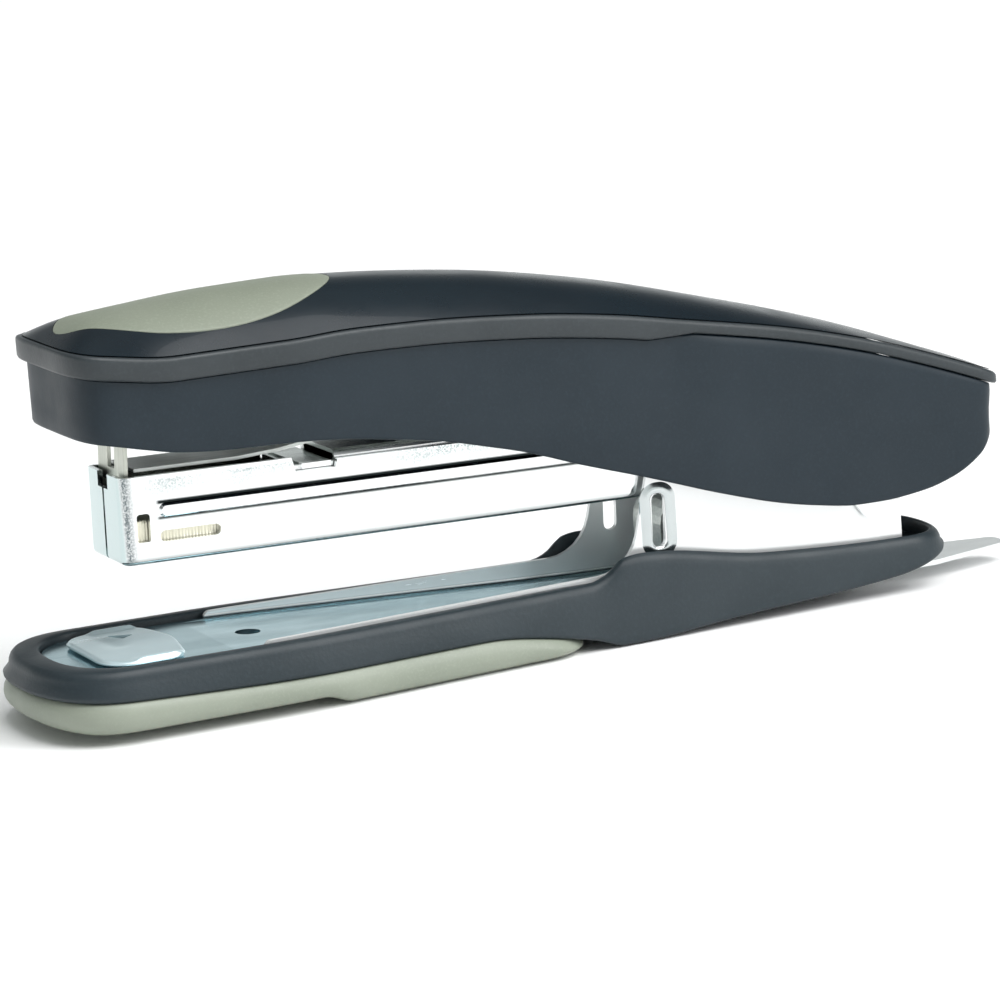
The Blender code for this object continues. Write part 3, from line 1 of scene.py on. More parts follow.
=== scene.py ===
"""The looks of the desk stapler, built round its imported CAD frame.

Shapes are drawn in stations, as the CAD is: X counts back from the tip of the nose, and each body's
matrix then puts them in the row frame. Lengths are metres.
"""

import json
import math

import bmesh
import bpy
from mathutils import Matrix, Vector

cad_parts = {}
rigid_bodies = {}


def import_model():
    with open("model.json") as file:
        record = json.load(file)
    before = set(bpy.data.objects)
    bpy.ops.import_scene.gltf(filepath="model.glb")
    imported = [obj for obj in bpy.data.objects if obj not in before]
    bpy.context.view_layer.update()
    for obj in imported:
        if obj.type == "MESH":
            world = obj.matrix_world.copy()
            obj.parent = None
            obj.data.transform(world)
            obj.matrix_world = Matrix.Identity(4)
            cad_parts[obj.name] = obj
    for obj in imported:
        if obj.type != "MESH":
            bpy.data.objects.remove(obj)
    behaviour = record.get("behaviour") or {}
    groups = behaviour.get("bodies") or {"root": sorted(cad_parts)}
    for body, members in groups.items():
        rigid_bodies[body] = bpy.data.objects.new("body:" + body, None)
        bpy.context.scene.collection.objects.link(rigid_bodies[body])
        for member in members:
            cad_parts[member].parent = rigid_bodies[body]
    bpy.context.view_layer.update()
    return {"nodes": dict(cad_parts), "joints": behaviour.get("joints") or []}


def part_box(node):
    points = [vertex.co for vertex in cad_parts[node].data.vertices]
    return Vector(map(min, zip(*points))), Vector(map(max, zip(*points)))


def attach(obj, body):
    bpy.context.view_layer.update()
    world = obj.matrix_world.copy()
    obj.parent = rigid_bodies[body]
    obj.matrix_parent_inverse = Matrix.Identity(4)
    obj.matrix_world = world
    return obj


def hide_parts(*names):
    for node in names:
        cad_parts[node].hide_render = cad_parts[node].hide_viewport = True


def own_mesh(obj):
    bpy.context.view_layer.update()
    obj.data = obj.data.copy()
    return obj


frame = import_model()
nodes = frame["nodes"]
scene = bpy.context.scene

MM = 0.001

# ---------------------------------------------------------------- places read from the frame

LENGTH = 2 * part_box("staple_remover")[1].x
SHIFT = -0.5 * LENGTH
HINGE = Vector(next(j for j in frame["joints"] if j["name"] == "magazine_hinge")["pos_m"])
PIVOT_X = HINGE.x - SHIFT
PIVOT_HEIGHT = HINGE.z
PIVOT = Vector((PIVOT_X, 0, PIVOT_HEIGHT))
SLIDE = next(j for j in frame["joints"] if j["name"] == "pusher_slide")
PITCH_AXIS = Vector(SLIDE["axis"])
PUSHER_TRAVEL = SLIDE["range_m"][1]
MAGAZINE_PITCH = math.atan2(-PITCH_AXIS.z, PITCH_AXIS.x)
ANVIL_X = 0.5 * (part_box("anvil_stud")[0].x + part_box("anvil_stud")[1].x) - SHIFT
ANVIL_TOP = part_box("anvil_plate")[1].z
HANDLE_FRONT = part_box("handle_band")[0].x - SHIFT
HANDLE_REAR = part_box("handle_band")[1].x - SHIFT
HANDLE_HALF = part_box("handle_band")[1].y
BASE_TAIL = PIVOT_X + 16 * MM
WALL_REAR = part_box("bracket")[1].x - SHIFT

# ---------------------------------------------------------------- sizes shared with the CAD

NOSE_LIP = 16.7 * MM
SHELL_FRONT = 1.0 * MM
NOSE_RIM_WIDTH = 4.7 * MM
WALL_FRONT = PIVOT_X - 42.5 * MM
RIM_STEP = WALL_FRONT - 2.0 * MM
NOSE_HALF = 17.3 * MM
WAIST_HALF = 12.5 * MM
TAIL_HALF = 11.6 * MM
RIM_HEIGHT = 10.9 * MM
RIM_WIDTH = 3.2 * MM
REAR_RIM_WIDTH = 1.7 * MM
REAR_RIM_HEIGHT = 13.8 * MM
TAIL_RIM_HEIGHT = 8.7 * MM
DECK_FRONT_HEIGHT = 9.8 * MM
DECK_REAR_HEIGHT = 5.5 * MM
DECK_SLOPE_FRONT = NOSE_LIP + 10.9 * MM
BRACKET_SHEET = 0.8 * MM
BRACKET_HALF = 9.25 * MM
WALL_SLOT = 8.6 * MM
PIN_BORE = 2.25 * MM
SOLE_REACH = 91.0 * MM
SOLE_THICKNESS = 5.0 * MM
SOLE_TREAD = 1.4 * MM
TREAD_END = 43.0 * MM
DRAFT = 1.1 * MM
MAGAZINE_FRONT = NOSE_LIP
MAGAZINE_HALF = 7.5 * MM
MAGAZINE_BOTTOM = PIVOT_HEIGHT - 8.4 * MM
MAGAZINE_TOP = MAGAZINE_BOTTOM + 13.5 * MM
MAGAZINE_REAR = PIVOT_X + 7 * MM
MAGAZINE_SHEET = 0.8 * MM
BAND_HEIGHT = 3.6 * MM
REAR_BAND_HEIGHT = 2.0 * MM
BAND_LIP = 1.0 * MM
SKIRT_WALL = 1.6 * MM
COVER_WALL = 1.8 * MM
HANDLE_REAR_HALF = 13.6 * MM
GRIP_LENGTH = 44.0 * MM
GRIP_HALF = 12.4 * MM
SEAM = 0.15 * MM
RIB_LINE = MAGAZINE_BOTTOM + 8.3 * MM


# ---------------------------------------------------------------- formulas

def blend_line(knots):
    """A smooth line through (x, value) knots that never swings past them, level beyond its ends."""
    xs = [x for x, _ in knots]
    vs = [v for _, v in knots]
    spans = [b - a for a, b in zip(xs, xs[1:])]
    slopes = [(vs[i + 1] - vs[i]) / spans[i] for i in range(len(spans))]
    tangents = [slopes[0]]
    for before, after, s0, s1 in zip(slopes, slopes[1:], spans, spans[1:]):
        if before * after <= 0:
            tangents.append(0.0)
        else:
            w0 = 2 * s1 + s0
            w1 = s1 + 2 * s0
            tangents.append((w0 + w1) / (w0 / before + w1 / after))
    tangents.append(slopes[-1])

    def value(x):
        if x <= xs[0]:
            return vs[0]
        if x >= xs[-1]:
            return vs[-1]
        i = max(k for k in range(len(spans)) if xs[k] <= x)
        t = (x - xs[i]) / spans[i]
        return (
            vs[i] * (1 + 2 * t) * (1 - t) ** 2
            + spans[i] * tangents[i] * t * (1 - t) ** 2
            + vs[i + 1] * t * t * (3 - 2 * t)
            + spans[i] * tangents[i + 1] * t * t * (t - 1)
        )

    return value


def smoothstep(low, high, value):
    """0 below low, 1 above high and smooth between."""
    t = min(1.0, max(0.0, (value - low) / (high - low)))
    return t * t * (3 - 2 * t)


rim_half = blend_line([
    (NOSE_LIP, NOSE_HALF),
    (2 * NOSE_LIP, NOSE_HALF),
    (0.66 * WALL_FRONT, 0.5 * (NOSE_HALF + WAIST_HALF)),
    (WALL_FRONT - 5 * MM, WAIST_HALF),
    (WALL_REAR, TAIL_HALF),
])
rim_width = blend_line([(WALL_FRONT - 14 * MM, RIM_WIDTH), (WALL_FRONT - 1 * MM, REAR_RIM_WIDTH)])
rim_top = blend_line([
    (0, RIM_HEIGHT),
    (RIM_STEP - 6 * MM, RIM_HEIGHT - 0.6 * MM),
    (RIM_STEP - 3.4 * MM, RIM_HEIGHT + 0.2 * MM),
    (RIM_STEP, REAR_RIM_HEIGHT - 0.3 * MM),
    (RIM_STEP + 2.5 * MM, REAR_RIM_HEIGHT),
    (0.5 * (RIM_STEP + WALL_REAR), 0.5 * (REAR_RIM_HEIGHT + TAIL_RIM_HEIGHT) - 0.9 * MM),
    (WALL_REAR - 4 * MM, TAIL_RIM_HEIGHT + 0.3 * MM),
    (BASE_TAIL, TAIL_RIM_HEIGHT),
])
TAIL_UNDERSIDE = [
    (WALL_FRONT, 0),
    (WALL_FRONT + 14 * MM, 0.9 * MM),
    (WALL_REAR - 2 * MM, 2.9 * MM),
    (BASE_TAIL - 4 * MM, 4.6 * MM),
    (BASE_TAIL, 5.6 * MM),
]
foot = blend_line([
    (0, SOLE_TREAD + 1.0 * MM),
    (8 * MM, SOLE_TREAD),
    (TREAD_END, SOLE_TREAD),
    (TREAD_END + 5 * MM, 0),
] + TAIL_UNDERSIDE)
shell_bottom = blend_line([
    (0, SOLE_THICKNESS + 1.9 * MM),
    (11 * MM, SOLE_THICKNESS + 1.2 * MM),
    (TREAD_END + 5 * MM, SOLE_THICKNESS),
    (SOLE_REACH - 20 * MM, SOLE_THICKNESS - 0.1 * MM),
    (SOLE_REACH - 5 * MM, 0.54 * SOLE_THICKNESS),
    (SOLE_REACH, 0.3 * SOLE_THICKNESS),
    (SOLE_REACH + 5 * MM, foot(SOLE_REACH + 5 * MM)),
] + TAIL_UNDERSIDE)
draft = blend_line([(0, DRAFT), (WALL_FRONT, DRAFT), (WALL_REAR, 0.4 * DRAFT)])


def deck_top(x):
    t = (x - DECK_SLOPE_FRONT) / (WALL_REAR - DECK_SLOPE_FRONT)
    return DECK_FRONT_HEIGHT + (DECK_REAR_HEIGHT - DECK_FRONT_HEIGHT) * min(1, max(0, t))


band_half = blend_line([
    (HANDLE_FRONT + 10 * MM, HANDLE_HALF - 0.4 * MM),
    (HANDLE_FRONT + 38 * MM, HANDLE_HALF),
    (PIVOT_X - 55 * MM, HANDLE_HALF - 0.8 * MM),
    (PIVOT_X - 20 * MM, HANDLE_REAR_HALF + 0.6 * MM),
    (PIVOT_X + 5 * MM, HANDLE_REAR_HALF),
])


def handle_line(knots):
    """A smooth line along the handle: (percent of its length, mm above the magazine's top)."""
    span = HANDLE_REAR - HANDLE_FRONT
    return blend_line([(HANDLE_FRONT + 0.01 * p * span, MAGAZINE_TOP + v * MM) for p, v in knots])


band_top = handle_line([
    (0, 24.3), (3.5, 23.4), (10.4, 22.0), (21.8, 22.0), (27.4, 22.3), (34.4, 22.0), (46.4, 20.5),
    (55.8, 18.4), (62.8, 16.2), (74.8, 12.3), (83.6, 8.6), (92.4, 3.8), (100, -0.9),
])
crown_top = handle_line([
    (0, 26.2), (3.5, 27.0), (8.5, 27.9), (18, 28.9), (25, 29.0), (30.6, 28.5), (43.2, 26.4),
    (56.5, 22.5), (71, 16.3), (83, 10.4), (94.3, 3.5), (100, -0.1),
])
skirt_bottom = handle_line([
    (1, 10.6), (3.5, 9.9), (6.6, 8.7), (9.8, 7.6), (14.2, 6.9), (21.8, 6.4), (26.2, 5.8),
    (32, 4.4), (37, 2.9), (41.3, 1.1), (45.1, -0.6), (51.4, -4.2), (58.4, -7.9), (67.2, -12.8),
    (73.5, -15.8), (77.9, -17.3), (82.3, -18.3), (85.5, -18.4), (90, -17.8), (93.7, -16.3),
    (96.8, -13.5), (98.7, -10.1), (100, -7.1),
])
band_middle = HANDLE_FRONT + 0.62 * (HANDLE_REAR - HANDLE_FRONT)
band_height = blend_line([
    (band_middle - 4 * MM, BAND_HEIGHT),
    (band_middle + 4 * MM, REAR_BAND_HEIGHT),
])


def band_bottom(x):
    return band_top(x) - band_height(x)


# ---------------------------------------------------------------- mesh helpers

BASE = Matrix.Translation((SHIFT, 0, 0))
MAGAZINE = (
    BASE
    @ Matrix.Translation(PIVOT)
    @ Matrix.Rotation(MAGAZINE_PITCH, 4, "Y")
    @ Matrix.Translation(-PIVOT)
)


def mesh_from(name, make, matrix=None):
    """A mesh from a function that fills a bmesh, with its normals out."""
    bm = bmesh.new()
    make(bm)
    bmesh.ops.remove_doubles(bm, verts=bm.verts, dist=1e-7)
    bmesh.ops.recalc_face_normals(bm, faces=bm.faces)
    if bm.calc_volume(signed=True) < 0:
        bmesh.ops.reverse_faces(bm, faces=bm.faces)
    if matrix is not None:
        bmesh.ops.transform(bm, matrix=matrix, verts=bm.verts)
    mesh = bpy.data.meshes.new(name)
    bm.to_mesh(mesh)
    bm.free()
    return mesh


def shade(mesh, angle):
    """Smooth shading, with edges sharper than an angle in degrees kept crisp."""
    mesh.shade_smooth()
    mesh.set_sharp_from_angle(angle=math.radians(angle))


def add(name, mesh, material, smooth=35):
    obj = bpy.data.objects.new(name, mesh)
    scene.collection.objects.link(obj)
    shade(mesh, smooth)
    mesh.materials.clear()
    mesh.materials.append(material)
    return obj


def bake(obj):
    """Makes the modifiers' result the object's own mesh."""
    bpy.context.view_layer.update()
    graph = bpy.context.evaluated_depsgraph_get()
    mesh = bpy.data.meshes.new_from_object(obj.evaluated_get(graph))
    obj.modifiers.clear()
    obj.data = mesh
    return obj


def carve(obj, meshes, operation="DIFFERENCE", tangled=False):
    """Cuts the meshes out of an object for good, all at once. A tangled one may cross itself."""
    tools = bpy.data.collections.new(obj.name + "_tools")
    scene.collection.children.link(tools)
    for mesh in meshes:
        tools.objects.link(bpy.data.objects.new(obj.name + "_tool", mesh))
    boolean = obj.modifiers.new("carve", "BOOLEAN")
    boolean.operation = operation
    boolean.solver = "EXACT"
    boolean.operand_type = "COLLECTION"
    boolean.collection = tools
    boolean.use_self = tangled
    bake(obj)
    for tool in list(tools.objects):
        bpy.data.objects.remove(tool)
    bpy.data.collections.remove(tools)
    return obj


def soften(obj, width, segments=2, angle=40):
    """Rounds an object's sharp edges a little, as its real ones are."""
    bevel = obj.modifiers.new("soften", "BEVEL")
    bevel.width = width
    bevel.segments = segments
    bevel.limit_method = "ANGLE"
    bevel.angle_limit = math.radians(angle)
    bevel.use_clamp_overlap = True
    bevel.harden_normals = True
    return obj


def stand_for(obj, body, slot, *cad):
    """The object moves with a body and replaces CAD nodes; the slot is not used."""
    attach(obj, body)
    if cad:
        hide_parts(*cad)
    return obj


def round_corners(points, steps=6):
    """An outline from (u, v, radius) corners, each rounded to its radius."""
    outline = []
    for i, (u, v, radius) in enumerate(points):
        here = Vector((u, v))
        if radius <= 0:
            outline.append(here)
            continue
        back = Vector(points[i - 1][:2]) - here
        ahead = Vector(points[(i + 1) % len(points)][:2]) - here
        half = 0.5 * back.angle(ahead)
        reach = min(radius / math.tan(half), 0.49 * back.length, 0.49 * ahead.length)
        centre = here + (back.normalized() + ahead.normalized()).normalized() * (
            reach / math.cos(half)
        )
        start = here + back.normalized() * reach - centre
        end = here + ahead.normalized() * reach - centre
        sweep = math.atan2(start.x * end.y - start.y * end.x, start.dot(end))
        for k in range(steps + 1):
            angle = sweep * k / steps
            outline.append(centre + Vector((
                start.x * math.cos(angle) - start.y * math.sin(angle),
                start.x * math.sin(angle) + start.y * math.cos(angle),
            )))
    return outline


def circle(u, v, radius, count=32):
    angles = [2 * math.pi * k / count for k in range(count)]
    return [Vector((u + radius * math.cos(a), v + radius * math.sin(a))) for a in angles]


def stadium(u0, u1, v, half, steps=10):
    turn = [math.pi * (k / steps - 0.5) for k in range(steps + 1)]
    right = [Vector((u1 - half + half * math.cos(a), v + half * math.sin(a))) for a in turn]
    left = [Vector((u0 + half - half * math.cos(a), v - half * math.sin(a))) for a in turn]
    return right + left


TURNS = {
    "XY": Matrix.Identity(4),
    "XZ": Matrix.Rotation(math.radians(90), 4, "X"),
    "YZ": Matrix.Rotation(math.radians(90), 4, "Z") @ Matrix.Rotation(math.radians(90), 4, "X"),
}


def plate_mesh(name, outline, low, high, plane, matrix=BASE):
    """A flat outline in plane XY, XZ or YZ, thickened from low to high across it."""

    def make(bm):
        bottom = [bm.verts.new((p[0], p[1], -0.5 * (high - low))) for p in outline]
        top = [bm.verts.new((p[0], p[1], 0.5 * (high - low))) for p in outline]
        bm.faces.new(bottom[::-1])
        bm.faces.new(top)
        for k in range(len(outline)):
            j = (k + 1) % len(outline)
            bm.faces.new((bottom[k], bottom[j], top[j], top[k]))
        middle = 0.5 * (low + high)
        shift = {"XY": (0, 0, middle), "XZ": (0, middle, 0), "YZ": (middle, 0, 0)}[plane]
        move = Matrix.Translation(shift) @ TURNS[plane]
        bmesh.ops.transform(bm, matrix=move, verts=bm.verts)

    return mesh_from(name, make, matrix)


def block_mesh(name, low, high, matrix=BASE):
    corners = [(low[0], low[1]), (high[0], low[1]), (high[0], high[1]), (low[0], high[1])]
    return plate_mesh(name, corners, low[2], high[2], "XY", matrix)


class Plan:
    """A long plan outline with round ends: its end stations, their rounding and its half width."""

    def __init__(self, front, rear, front_round, rear_round, half, power=2.4):
        self.front = front
        self.rear = rear
        self.front_round = front_round
        self.rear_round = rear_round
        self.half = half
        self.power = power

    def inset(self, side, ends=None):
        side_at = side if callable(side) else (lambda x: side)
        ends = side if ends is None else ends
        front, rear = ends if isinstance(ends, tuple) else (ends, ends)
        return Plan(
            self.front + front,
            self.rear - rear,
            max(self.front_round - 0.5 * front, 1 * MM),
            max(self.rear_round - 0.5 * rear, 1 * MM),
            lambda x: self.half(x) - side_at(x),
            self.power,
        )

    def scaled(self, share, ends):
        return Plan(
            self.front + ends,
            self.rear - ends,
            max(self.front_round * share, 1 * MM),
            max(self.rear_round * share, 1 * MM),
            lambda x: self.half(x) * share,
            self.power,
        )

    def points(self, round_steps=22, length_steps=120):
        """(x, half width) from the front tip to the rear tip."""
        quarter = [0.5 * math.pi * (k / round_steps) ** 1.35 for k in range(round_steps)]
        front_x = [self.front + self.front_round * (1 - math.cos(a)) for a in quarter]
        rear_x = [self.rear - self.rear_round * (1 - math.cos(a)) for a in quarter[::-1]]
        low = self.front + self.front_round
        high = self.rear - self.rear_round
        middle = [low + (high - low) * k / length_steps for k in range(length_steps + 1)]
        return [(x, self.half(x) * self.end_share(x)) for x in front_x + middle + rear_x]

    def end_share(self, x):
        share = 1.0
        for depth, rounding in (
            (x - self.front, self.front_round),
            (self.rear - x, self.rear_round),
        ):
            u = min(1.0, max(0.0, 1 - depth / rounding))
            share *= (1 - u**self.power) ** (1 / self.power)
        return share


def ring(plan, height):
    return [(x, w, height(x)) for x, w in plan.points()]


def raised(height, by):
    return lambda x: height(x) + by


def ring_loft(bm, rings, closed=False):
    """Skins rings of (x, half width, z), each running from the front tip to the rear tip."""
    loops = []
    for points in rings:
        right = [bm.verts.new((x, -w, z)) for x, w, z in points]
        left = [bm.verts.new((x, w, z)) for x, w, z in points[1:-1]]
        loops.append(right + left[::-1])
    count = len(loops[0])
    pairs = list(zip(loops, loops[1:]))
    if closed:
        pairs.append((loops[-1], loops[0]))
    for lower, upper in pairs:
        for k in range(count):
            j = (k + 1) % count
            bm.faces.new((lower[k], lower[j], upper[j], upper[k]))
    if closed:
        return
    half = len(rings[0])
    for loop in (loops[0], loops[-1]):
        bm.faces.new((loop[0], loop[1], loop[-1]))
        for k in range(1, half - 2):
            bm.faces.new((loop[k], loop[k + 1], loop[-k - 1], loop[-k]))
        bm.faces.new((loop[half - 2], loop[half - 1], loop[half]))


def ring_mesh(name, rings, closed=False):
    return mesh_from(name, lambda bm: ring_loft(bm, rings, closed), BASE)


# ---------------------------------------------------------------- materials

class Shader:
    """A Principled material with a few layered, object-space details."""

    def __init__(self, name, roughness=0.5, metallic=0.0, coat=0.0):
        self.material = bpy.data.materials.new(name)
        self.material.use_nodes = True
        self.tree = self.material.node_tree
        self.shader = self.tree.nodes["Principled BSDF"]
        self.shader.inputs["Roughness"].default_value = roughness
        self.shader.inputs["Metallic"].default_value = metallic
        self.shader.inputs["Coat Weight"].default_value = coat
        self.place = self.tree.nodes.new("ShaderNodeTexCoord").outputs["Object"]
        self.bump = None

    def node(self, kind, **settings):
        made = self.tree.nodes.new(kind)
        for key, value in settings.items():
            setattr(made, key, value)
        return made

    def link(self, source, target):
        self.tree.links.new(source, target)

    def stretched(self, scale):
        mapping = self.node("ShaderNodeMapping")
        mapping.inputs["Scale"].default_value = scale
        self.link(self.place, mapping.inputs["Vector"])
        return mapping.outputs["Vector"]

    def place_along(self, axis):
        """The X, Y or Z of a point on the piece."""
        split = self.node("ShaderNodeSeparateXYZ")
        self.link(self.place, split.inputs["Vector"])
        return split.outputs[axis]

    def noise(self, scale, detail=3.0, stretch=None, rough=0.5):
        texture = self.node("ShaderNodeTexNoise")
        texture.inputs["Scale"].default_value = scale
        texture.inputs["Detail"].default_value = detail
        texture.inputs["Roughness"].default_value = rough
        self.link(self.stretched(stretch) if stretch else self.place, texture.inputs["Vector"])
        return texture.outputs["Fac"]

    def ramp(self, source, stops):
        """Colours at positions along 0 to 1."""
        ramp = self.node("ShaderNodeValToRGB")
        elements = ramp.color_ramp.elements
        while len(elements) < len(stops):
            elements.new(0.5)
        for element, (position, colour) in zip(elements, stops):
            element.position = position
            element.color = (*colour, 1)
        self.link(source, ramp.inputs["Fac"])
        return ramp.outputs["Color"]

    def span(self, source, low, high, from_low=0.3, from_high=0.7):
        """Maps the middle of a texture's range to low..high."""
        mapped = self.node("ShaderNodeMapRange")
        mapped.inputs["From Min"].default_value = from_low
        mapped.inputs["From Max"].default_value = from_high
        mapped.inputs["To Min"].default_value = low
        mapped.inputs["To Max"].default_value = high
        self.link(source, mapped.inputs["Value"])
        return mapped.outputs["Result"]

    def mix(self, factor, first, second, mode="MIX"):
        mixed = self.node("ShaderNodeMix", data_type="RGBA", blend_type=mode)
        self.link(factor, mixed.inputs[0])
        for value, socket in ((first, mixed.inputs[6]), (second, mixed.inputs[7])):
            if isinstance(value, tuple):
                socket.default_value = (*value, 1)
            else:
                self.link(value, socket)
        return mixed.outputs[2]

    def colour(self, source):
        self.link(source, self.shader.inputs["Base Color"])
        return self

    def rough(self, source):
        self.link(source, self.shader.inputs["Roughness"])
        return self

    def bumped(self, source, distance, strength=1.0):
        """Adds a bump layer of a real height, in metres."""
        bump = self.node("ShaderNodeBump")
        bump.inputs["Strength"].default_value = strength
        bump.inputs["Distance"].default_value = distance
        self.link(source, bump.inputs["Height"])
        if self.bump is not None:
            self.link(self.bump, bump.inputs["Normal"])
        self.bump = bump.outputs["Normal"]
        self.link(self.bump, self.shader.inputs["Normal"])
        return self


def moulded(name, dark, light, roughness, grain, height, coat=0.0, fleck=1.3):
    """Moulded plastic with a fine spark-eroded grain and slight cloudiness."""
    made = Shader(name, roughness, coat=coat)
    cloud = made.noise(55, 4)
    speck = made.noise(grain, 2)
    base = made.ramp(cloud, [(0.35, dark), (0.65, light)])
    flecked = made.mix(made.span(speck, 0.0, 0.4, 0.5, 0.75), base, tuple(fleck * c for c in light))
    made.colour(flecked)
    made.rough(made.span(made.noise(130, 5), roughness - 0.05, roughness + 0.07))
    made.bumped(speck, height)
    made.bumped(made.noise(140, 3), 0.03 * MM, 0.3)
    return made.material


def plated(name, colour, roughness, ripple=0.012, speck=0.0, detail=None):
    """Bright plating over pressed sheet: faint ripples, rubbing marks and a little haze."""
    made = Shader(name, roughness, 1.0)
    haze = made.noise(90, 5)
    tint = made.ramp(haze, [(0.3, tuple(0.9 * c for c in colour)), (0.7, colour)])
    if detail is not None:
        tint = detail(made, tint)
    made.colour(tint)
    rubbed = made.noise(220, 6, (0.25, 1.0, 3.0), 0.6)
    made.rough(made.span(rubbed, max(0.03, roughness - 0.04), roughness + 0.08))
    made.bumped(made.noise(45, 2, (0.6, 1.0, 1.6)), ripple * MM)
    if speck:
        made.bumped(made.noise(2600, 2), speck * MM)
    return made.material


def product(made, first, second):
    both = made.node("ShaderNodeMath", operation="MULTIPLY")
    made.link(first, both.inputs[0])
    made.link(second, both.inputs[1])
    return both.outputs["Value"]


def window(made, source, low, high, fade_in, fade_out):
    """1 where the source lies between low and high, fading to 0 at both ends."""
    rise = made.span(source, 0.0, 1.0, low, low + fade_in)
    return product(made, rise, made.span(source, 1.0, 0.0, high - fade_out, high))


def channel_painted_shade(made, tint):
    """Painted shade on the magazine's chrome: a speckled darker band under its top edge, darker
    speckled front bends, dark lines along the rib's edges, a darker band along its bottom bend and
    darker faces on the front flaps.
    """
    level = made.node("ShaderNodeMath", operation="MULTIPLY_ADD")
    level.inputs[1].default_value = math.tan(MAGAZINE_PITCH)
    made.link(made.place_along("X"), level.inputs[0])
    made.link(made.place_along("Z"), level.inputs[2])
    top = MAGAZINE_TOP + (PIVOT_X + SHIFT) * math.tan(MAGAZINE_PITCH)
    # Painted shade: a darker band, broken up with specks, under the top edge.
    speck = made.span(made.noise(4200, 3), 0.0, 1.0, 0.4, 0.62)
    cloud = made.span(made.noise(110, 3, (0.35, 1.0, 1.3)), 0.0, 1.0, 0.42, 0.6)
    under_edge = window(
        made, level.outputs["Value"], top - 5.2 * MM, top - 0.3 * MM, 3.2 * MM, 0.5 * MM
    )
    tint = made.mix(product(made, under_edge, product(made, speck, cloud)), tint, (0.4, 0.46, 0.46))
    # Painted shade: the front bends darkened, with specks.
    front = MAGAZINE_FRONT + SHIFT
    bend = window(made, made.place_along("X"), front + 0.25 * MM, front + 2.3 * MM, 0.5 * MM, 1.3 * MM)
    bend_shade_specks = made.span(made.noise(3600, 2), 0.35, 1.0, 0.38, 0.58)
    tint = made.mix(product(made, bend, bend_shade_specks), tint, (0.16, 0.19, 0.2))
    # Painted shade: dark lines along the rib's upper and lower edges.
    rib_span = window(
        made, made.place_along("X"), front + 5.6 * MM, MAGAZINE_REAR + SHIFT, 0.5 * MM, 0.5 * MM
    )
    rib = RIB_LINE + (PIVOT_X + SHIFT) * math.tan(MAGAZINE_PITCH)
    for low, high, fade, tone in (
        (rib + 0.62 * MM, rib + 1.42 * MM, 0.25 * MM, (0.015, 0.02, 0.02)),
        (rib - 1.75 * MM, rib - 1.05 * MM, 0.28 * MM, (0.06, 0.07, 0.07)),
    ):
        line = window(made, level.outputs["Value"], low, high, fade, fade)
        tint = made.mix(product(made, rib_span, line), tint, tone)
    # Painted shade: a darker band along the bottom bend.
    foot_line = MAGAZINE_BOTTOM + (PIVOT_X + SHIFT) * math.tan(MAGAZINE_PITCH)
    sole_edge = window(
        made, level.outputs["Value"], foot_line + 0.1 * MM, foot_line + 1.2 * MM, 0.2 * MM, 0.8 * MM
    )
    tint = made.mix(sole_edge, tint, (0.3, 0.34, 0.34))
    # Painted shade: the front flaps' faces darker.
    flap = made.span(made.place_along("X"), 1.0, 0.0, front + 0.25 * MM, front + 0.55 * MM)
    return made.mix(flap, tint, (0.6, 0.7, 0.7))


def bracket_tint(made, tint):
    """Bluish on the deck, with a painted dark shade in the flanges' bends and a painted white
    reflection making the flanges and walls whiter.
    """
    deck = made.span(
        made.place_along("X"), deck_top(DECK_SLOPE_FRONT), deck_top(WALL_REAR),
        DECK_SLOPE_FRONT + SHIFT, WALL_REAR + SHIFT,
    )
    rise = made.node("ShaderNodeMath", operation="SUBTRACT")
    made.link(made.place_along("Z"), rise.inputs[0])
    made.link(deck, rise.inputs[1])
    above = rise.outputs["Value"]
    # Painted reflection: whiter from just above the deck, up the flanges and walls.
    tint = made.mix(made.span(above, 0.0, 1.0, 0.35 * MM, 0.6 * MM), tint, (0.97, 0.98, 0.98))
    made.link(made.span(above, 1.0, 0.45, 0.5 * MM, 0.9 * MM), made.shader.inputs["Metallic"])
    # Painted shade: a dark line in the flanges' bends.
    bend = window(made, above, 0.08 * MM, 0.6 * MM, 0.2 * MM, 0.25 * MM)
    return made.mix(bend, tint, (0.12, 0.14, 0.15))


def tab_tint(made, tint):
    """The cover's tabs are painted bright as lit where they come out through the magazine's notches;
    inside, the cover keeps a dull grey that is painted shade.
    """
    out = made.node("ShaderNodeMath", operation="ABSOLUTE")
    made.link(made.place_along("Y"), out.inputs[0])
    tabs = made.span(out.outputs["Value"], 0.0, 1.0, 6.2 * MM, 6.4 * MM)
    return made.mix(tabs, tint, (0.92, 0.93, 0.93))


def brushed(name, dark, light, roughness, along=(0.05, 1.0, 1.0)):
    """Rolled sheet with fine lines along it."""
    made = Shader(name, roughness, 1.0)
    lines = made.noise(2200, 3, along)
    made.colour(made.mix(made.span(lines, 0.0, 1.0), dark, light))
    made.rough(made.span(made.noise(160, 4), roughness - 0.05, roughness + 0.1))
    made.bumped(lines, 0.008 * MM)
    return made.material


